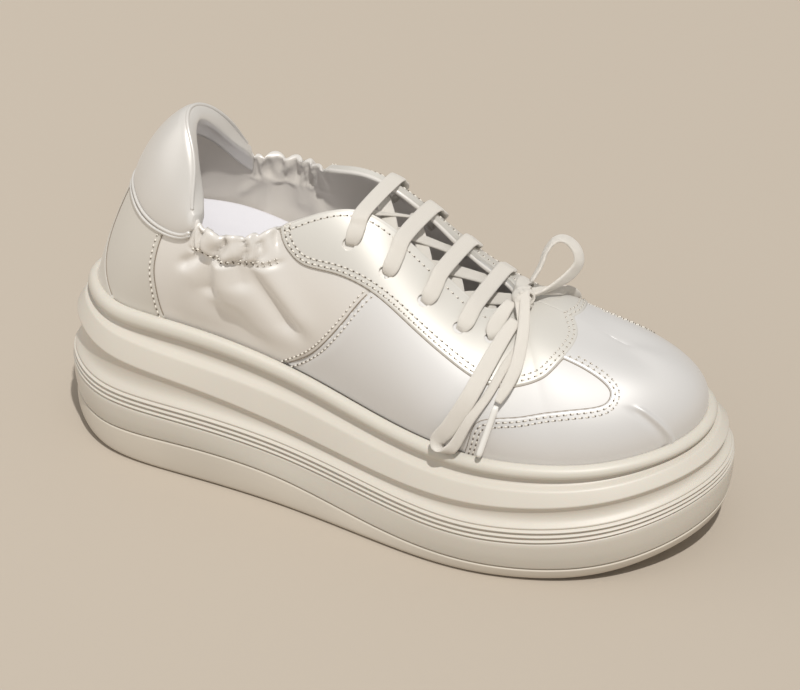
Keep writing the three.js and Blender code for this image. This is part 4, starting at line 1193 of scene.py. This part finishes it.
def aside(curve, away):
    """A curve moved sideways over the last by a distance in millimetres, still in (s, v)."""
    s, v = curve[:, 0].copy(), curve[:, 1].copy()
    along, rise = slopes(s, np.clip(v, 0, 1))
    run = np.gradient(on_last(s, v), axis=0)
    run /= np.linalg.norm(run, axis=1)[:, None]
    normal = np.cross(along, rise)
    normal /= np.linalg.norm(normal, axis=1)[:, None]
    way = np.cross(normal, run) * away
    aa, ab, bb = (along * along).sum(1), (along * rise).sum(1), (rise * rise).sum(1)
    wa, wb = (way * along).sum(1), (way * rise).sum(1)
    det = aa * bb - ab * ab
    return np.stack([s + (wa * bb - wb * ab) / det, v + (wb * aa - wa * ab) / det], 1)


def seam_rows(curve, aways, lift, v_low=0.005, v_high=0.995, s_from=-99, s_to=99):
    """Stitch rows beside a seam, as lists of points on the leather."""
    rows = []
    for away in aways:
        row = aside(curve, away)
        keep = ((row[:, 1] > v_low) & (row[:, 1] < v_high) & (row[:, 0] > s_from)
                & (row[:, 0] < s_to))
        row = row[keep]
        if len(row) > 3:
            rows.append(off_last(row[:, 0], row[:, 1], relief(row[:, 0], row[:, 1]) + lift))
    return rows


def both(curve, aways, lift, **limits):
    rows = seam_rows(curve, aways, lift, **limits)
    far = other_side(curve)
    turned_limits = dict(limits)
    if "s_from" in limits or "s_to" in limits:
        turned_limits["s_from"] = TURN - limits.get("s_to", 99)
        turned_limits["s_to"] = TURN - limits.get("s_from", -99)
    return rows + seam_rows(far, [-a for a in aways], lift, **turned_limits)


# the raw cut edge of each overlay, a dark line against the leather under it: partly the edge's own
# colour, partly painted shade of the corner where the overlay meets the leather
raw_edge_and_shade_finish = grained(material("raw_edge_and_painted_shade", (0.30, 0.25, 0.20), 0.8), 2500.0, 0.00005, 0.1)
edge_shade_lines = []
for curve, lift, low, high in ((eyestay_edge, 0.34, 0.50, 0.985), (toe_edge, 0.36, 0.02, 0.68),
                               (counter_edge, 0.10, 0.02, 0.66), (stay_edge, 0.78, 0.02, 0.60),
                               (diagonal, 0.12, 0.02, 0.60)):
    edge_shade_lines += both(curve, [-0.12 if curve is eyestay_edge or curve is counter_edge
                               or curve is stay_edge else 0.12], lift, v_low=low, v_high=high)
cord_mesh("raw_edges_and_painted_shade", [line[::2] for line in edge_shade_lines], 0.22, raw_edge_and_shade_finish, sides=6)

thread_rows = []
thread_rows += both(eyestay_edge, [1.5, 3.3], 1.42, s_to=14.24)
throat_line = curve_sv([[7.15, 0.955], [8.6, 0.955], [10.0, 0.945], [11.5, 0.935], [12.6, 0.925]])
thread_rows += both(throat_line, [0.0], 1.36)
thread_rows += both(toe_edge, [-1.4, -3.0], 1.16, v_high=0.70)
thread_rows += both(diagonal, [1.7], 0.12, v_high=0.60)
thread_rows += both(diagonal, [-1.7], 0.42, v_high=0.60)
thread_rows += both(counter_edge, [1.5], 0.82, v_high=0.66)
gather_line = curve_sv([[4.65, 0.76], [5.2, 0.752], [5.9, 0.755], [6.5, 0.757], [6.95, 0.76]])
thread_rows += both(gather_line, [0.0, 1.6], 0.15)

STITCH_LENGTH, STITCH_PITCH, THREAD = 1.70, 2.45, 0.33


def stitch_tree(name, finish):
    """Geometry nodes that lay one small stitch after another along every line."""
    tree = bpy.data.node_groups.new(name, "GeometryNodeTree")
    face = tree.interface
    face.new_socket("Geometry", in_out="INPUT", socket_type="NodeSocketGeometry")
    for label, value in (("Pitch", STITCH_PITCH), ("Stitch length", STITCH_LENGTH),
                         ("Thread radius", THREAD)):
        socket = face.new_socket(label, in_out="INPUT", socket_type="NodeSocketFloat")
        socket.default_value = value * 0.001
    face.new_socket("Geometry", in_out="OUTPUT", socket_type="NodeSocketGeometry")
    inputs = tree.nodes.new("NodeGroupInput")
    outputs = tree.nodes.new("NodeGroupOutput")
    line = tree.nodes.new("GeometryNodeMeshToCurve")
    spaced = tree.nodes.new("GeometryNodeResampleCurve")
    spaced.mode = "LENGTH"
    tangent = tree.nodes.new("GeometryNodeInputTangent")
    aim = tree.nodes.new("FunctionNodeAlignRotationToVector")
    aim.axis = "X"
    stitch = tree.nodes.new("GeometryNodeMeshIcoSphere")
    stitch.inputs["Subdivisions"].default_value = 1
    stitch.inputs["Radius"].default_value = 1.0
    size = tree.nodes.new("ShaderNodeCombineXYZ")
    half = tree.nodes.new("ShaderNodeMath")
    half.operation = "MULTIPLY"
    half.inputs[1].default_value = 0.5
    place = tree.nodes.new("GeometryNodeInstanceOnPoints")
    real = tree.nodes.new("GeometryNodeRealizeInstances")
    smooth = tree.nodes.new("GeometryNodeSetShadeSmooth")
    paint = tree.nodes.new("GeometryNodeSetMaterial")
    paint.inputs["Material"].default_value = finish
    join = tree.links.new
    join(inputs.outputs["Geometry"], line.inputs["Mesh"])
    join(line.outputs["Curve"], spaced.inputs["Curve"])
    join(inputs.outputs["Pitch"], spaced.inputs["Length"])
    join(tangent.outputs["Tangent"], aim.inputs["Vector"])
    join(spaced.outputs["Curve"], place.inputs["Points"])
    join(stitch.outputs["Mesh"], place.inputs["Instance"])
    join(aim.outputs["Rotation"], place.inputs["Rotation"])
    join(inputs.outputs["Stitch length"], half.inputs[0])
    join(half.outputs["Value"], size.inputs["X"])
    join(inputs.outputs["Thread radius"], size.inputs["Y"])
    join(inputs.outputs["Thread radius"], size.inputs["Z"])
    join(size.outputs["Vector"], place.inputs["Scale"])
    join(place.outputs["Instances"], real.inputs["Geometry"])
    join(real.outputs["Geometry"], smooth.inputs["Geometry"])
    join(smooth.outputs["Geometry"], paint.inputs["Geometry"])
    join(paint.outputs["Geometry"], outputs.inputs["Geometry"])
    return tree


def stitched(name, rows, finish, pitch, length, radius):
    """Sews rows of points: each row becomes a line of small stitches, all in one mesh."""
    points, edges = [], []
    for row in rows:
        base = len(points)
        points += list(row)
        edges += [(base + k, base + k + 1) for k in range(len(row) - 1)]
    mesh = bpy.data.meshes.new(name)
    mesh.from_pydata(to_metres(points).tolist(), edges, [])
    piece = bpy.data.objects.new(name, mesh)
    bpy.context.collection.objects.link(piece)
    sew = piece.modifiers.new("sew", "NODES")
    sew.node_group = stitch_tree(name + "_rows", finish)
    for item in sew.node_group.interface.items_tree:
        value = {"Pitch": pitch, "Stitch length": length, "Thread radius": radius}.get(item.name)
        if value is not None:
            sew[item.identifier] = value * 0.001
    done = piece.evaluated_get(bpy.context.evaluated_depsgraph_get())
    sewn = bpy.data.meshes.new_from_object(done)
    piece.modifiers.clear()
    piece.data = sewn
    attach(piece, "root")
    return piece


thread_finish = grained(material("sewing_thread", (0.80, 0.76, 0.69), 0.6, sheen_weight=0.3),
                        2500.0, 0.00005, 0.05)
stitched("seam_stitches", thread_rows, thread_finish, STITCH_PITCH, STITCH_LENGTH, THREAD)


def slid(row, distance):
    """A row that starts a little further along itself."""
    gone = np.concatenate([[0], np.cumsum(np.linalg.norm(np.diff(row, axis=0), axis=1))])
    return [row[gone > distance][k] for k in range((gone > distance).sum())]


# painted shade of the needle holes between the stitches: small dark flat marks on the leather, not
# cut holes
needle_hole_shade_finish = grained(material("painted_needle_hole_shade", (0.16, 0.13, 0.10), 0.9), 2500.0, 0.00005, 0.1)
hole_shade_rows = [slid(row, STITCH_PITCH / 2) for row in thread_rows]
stitched("needle_hole_shade_marks", [row for row in hole_shade_rows if len(row) > 3], needle_hole_shade_finish,
         STITCH_PITCH, 0.80, 0.36)
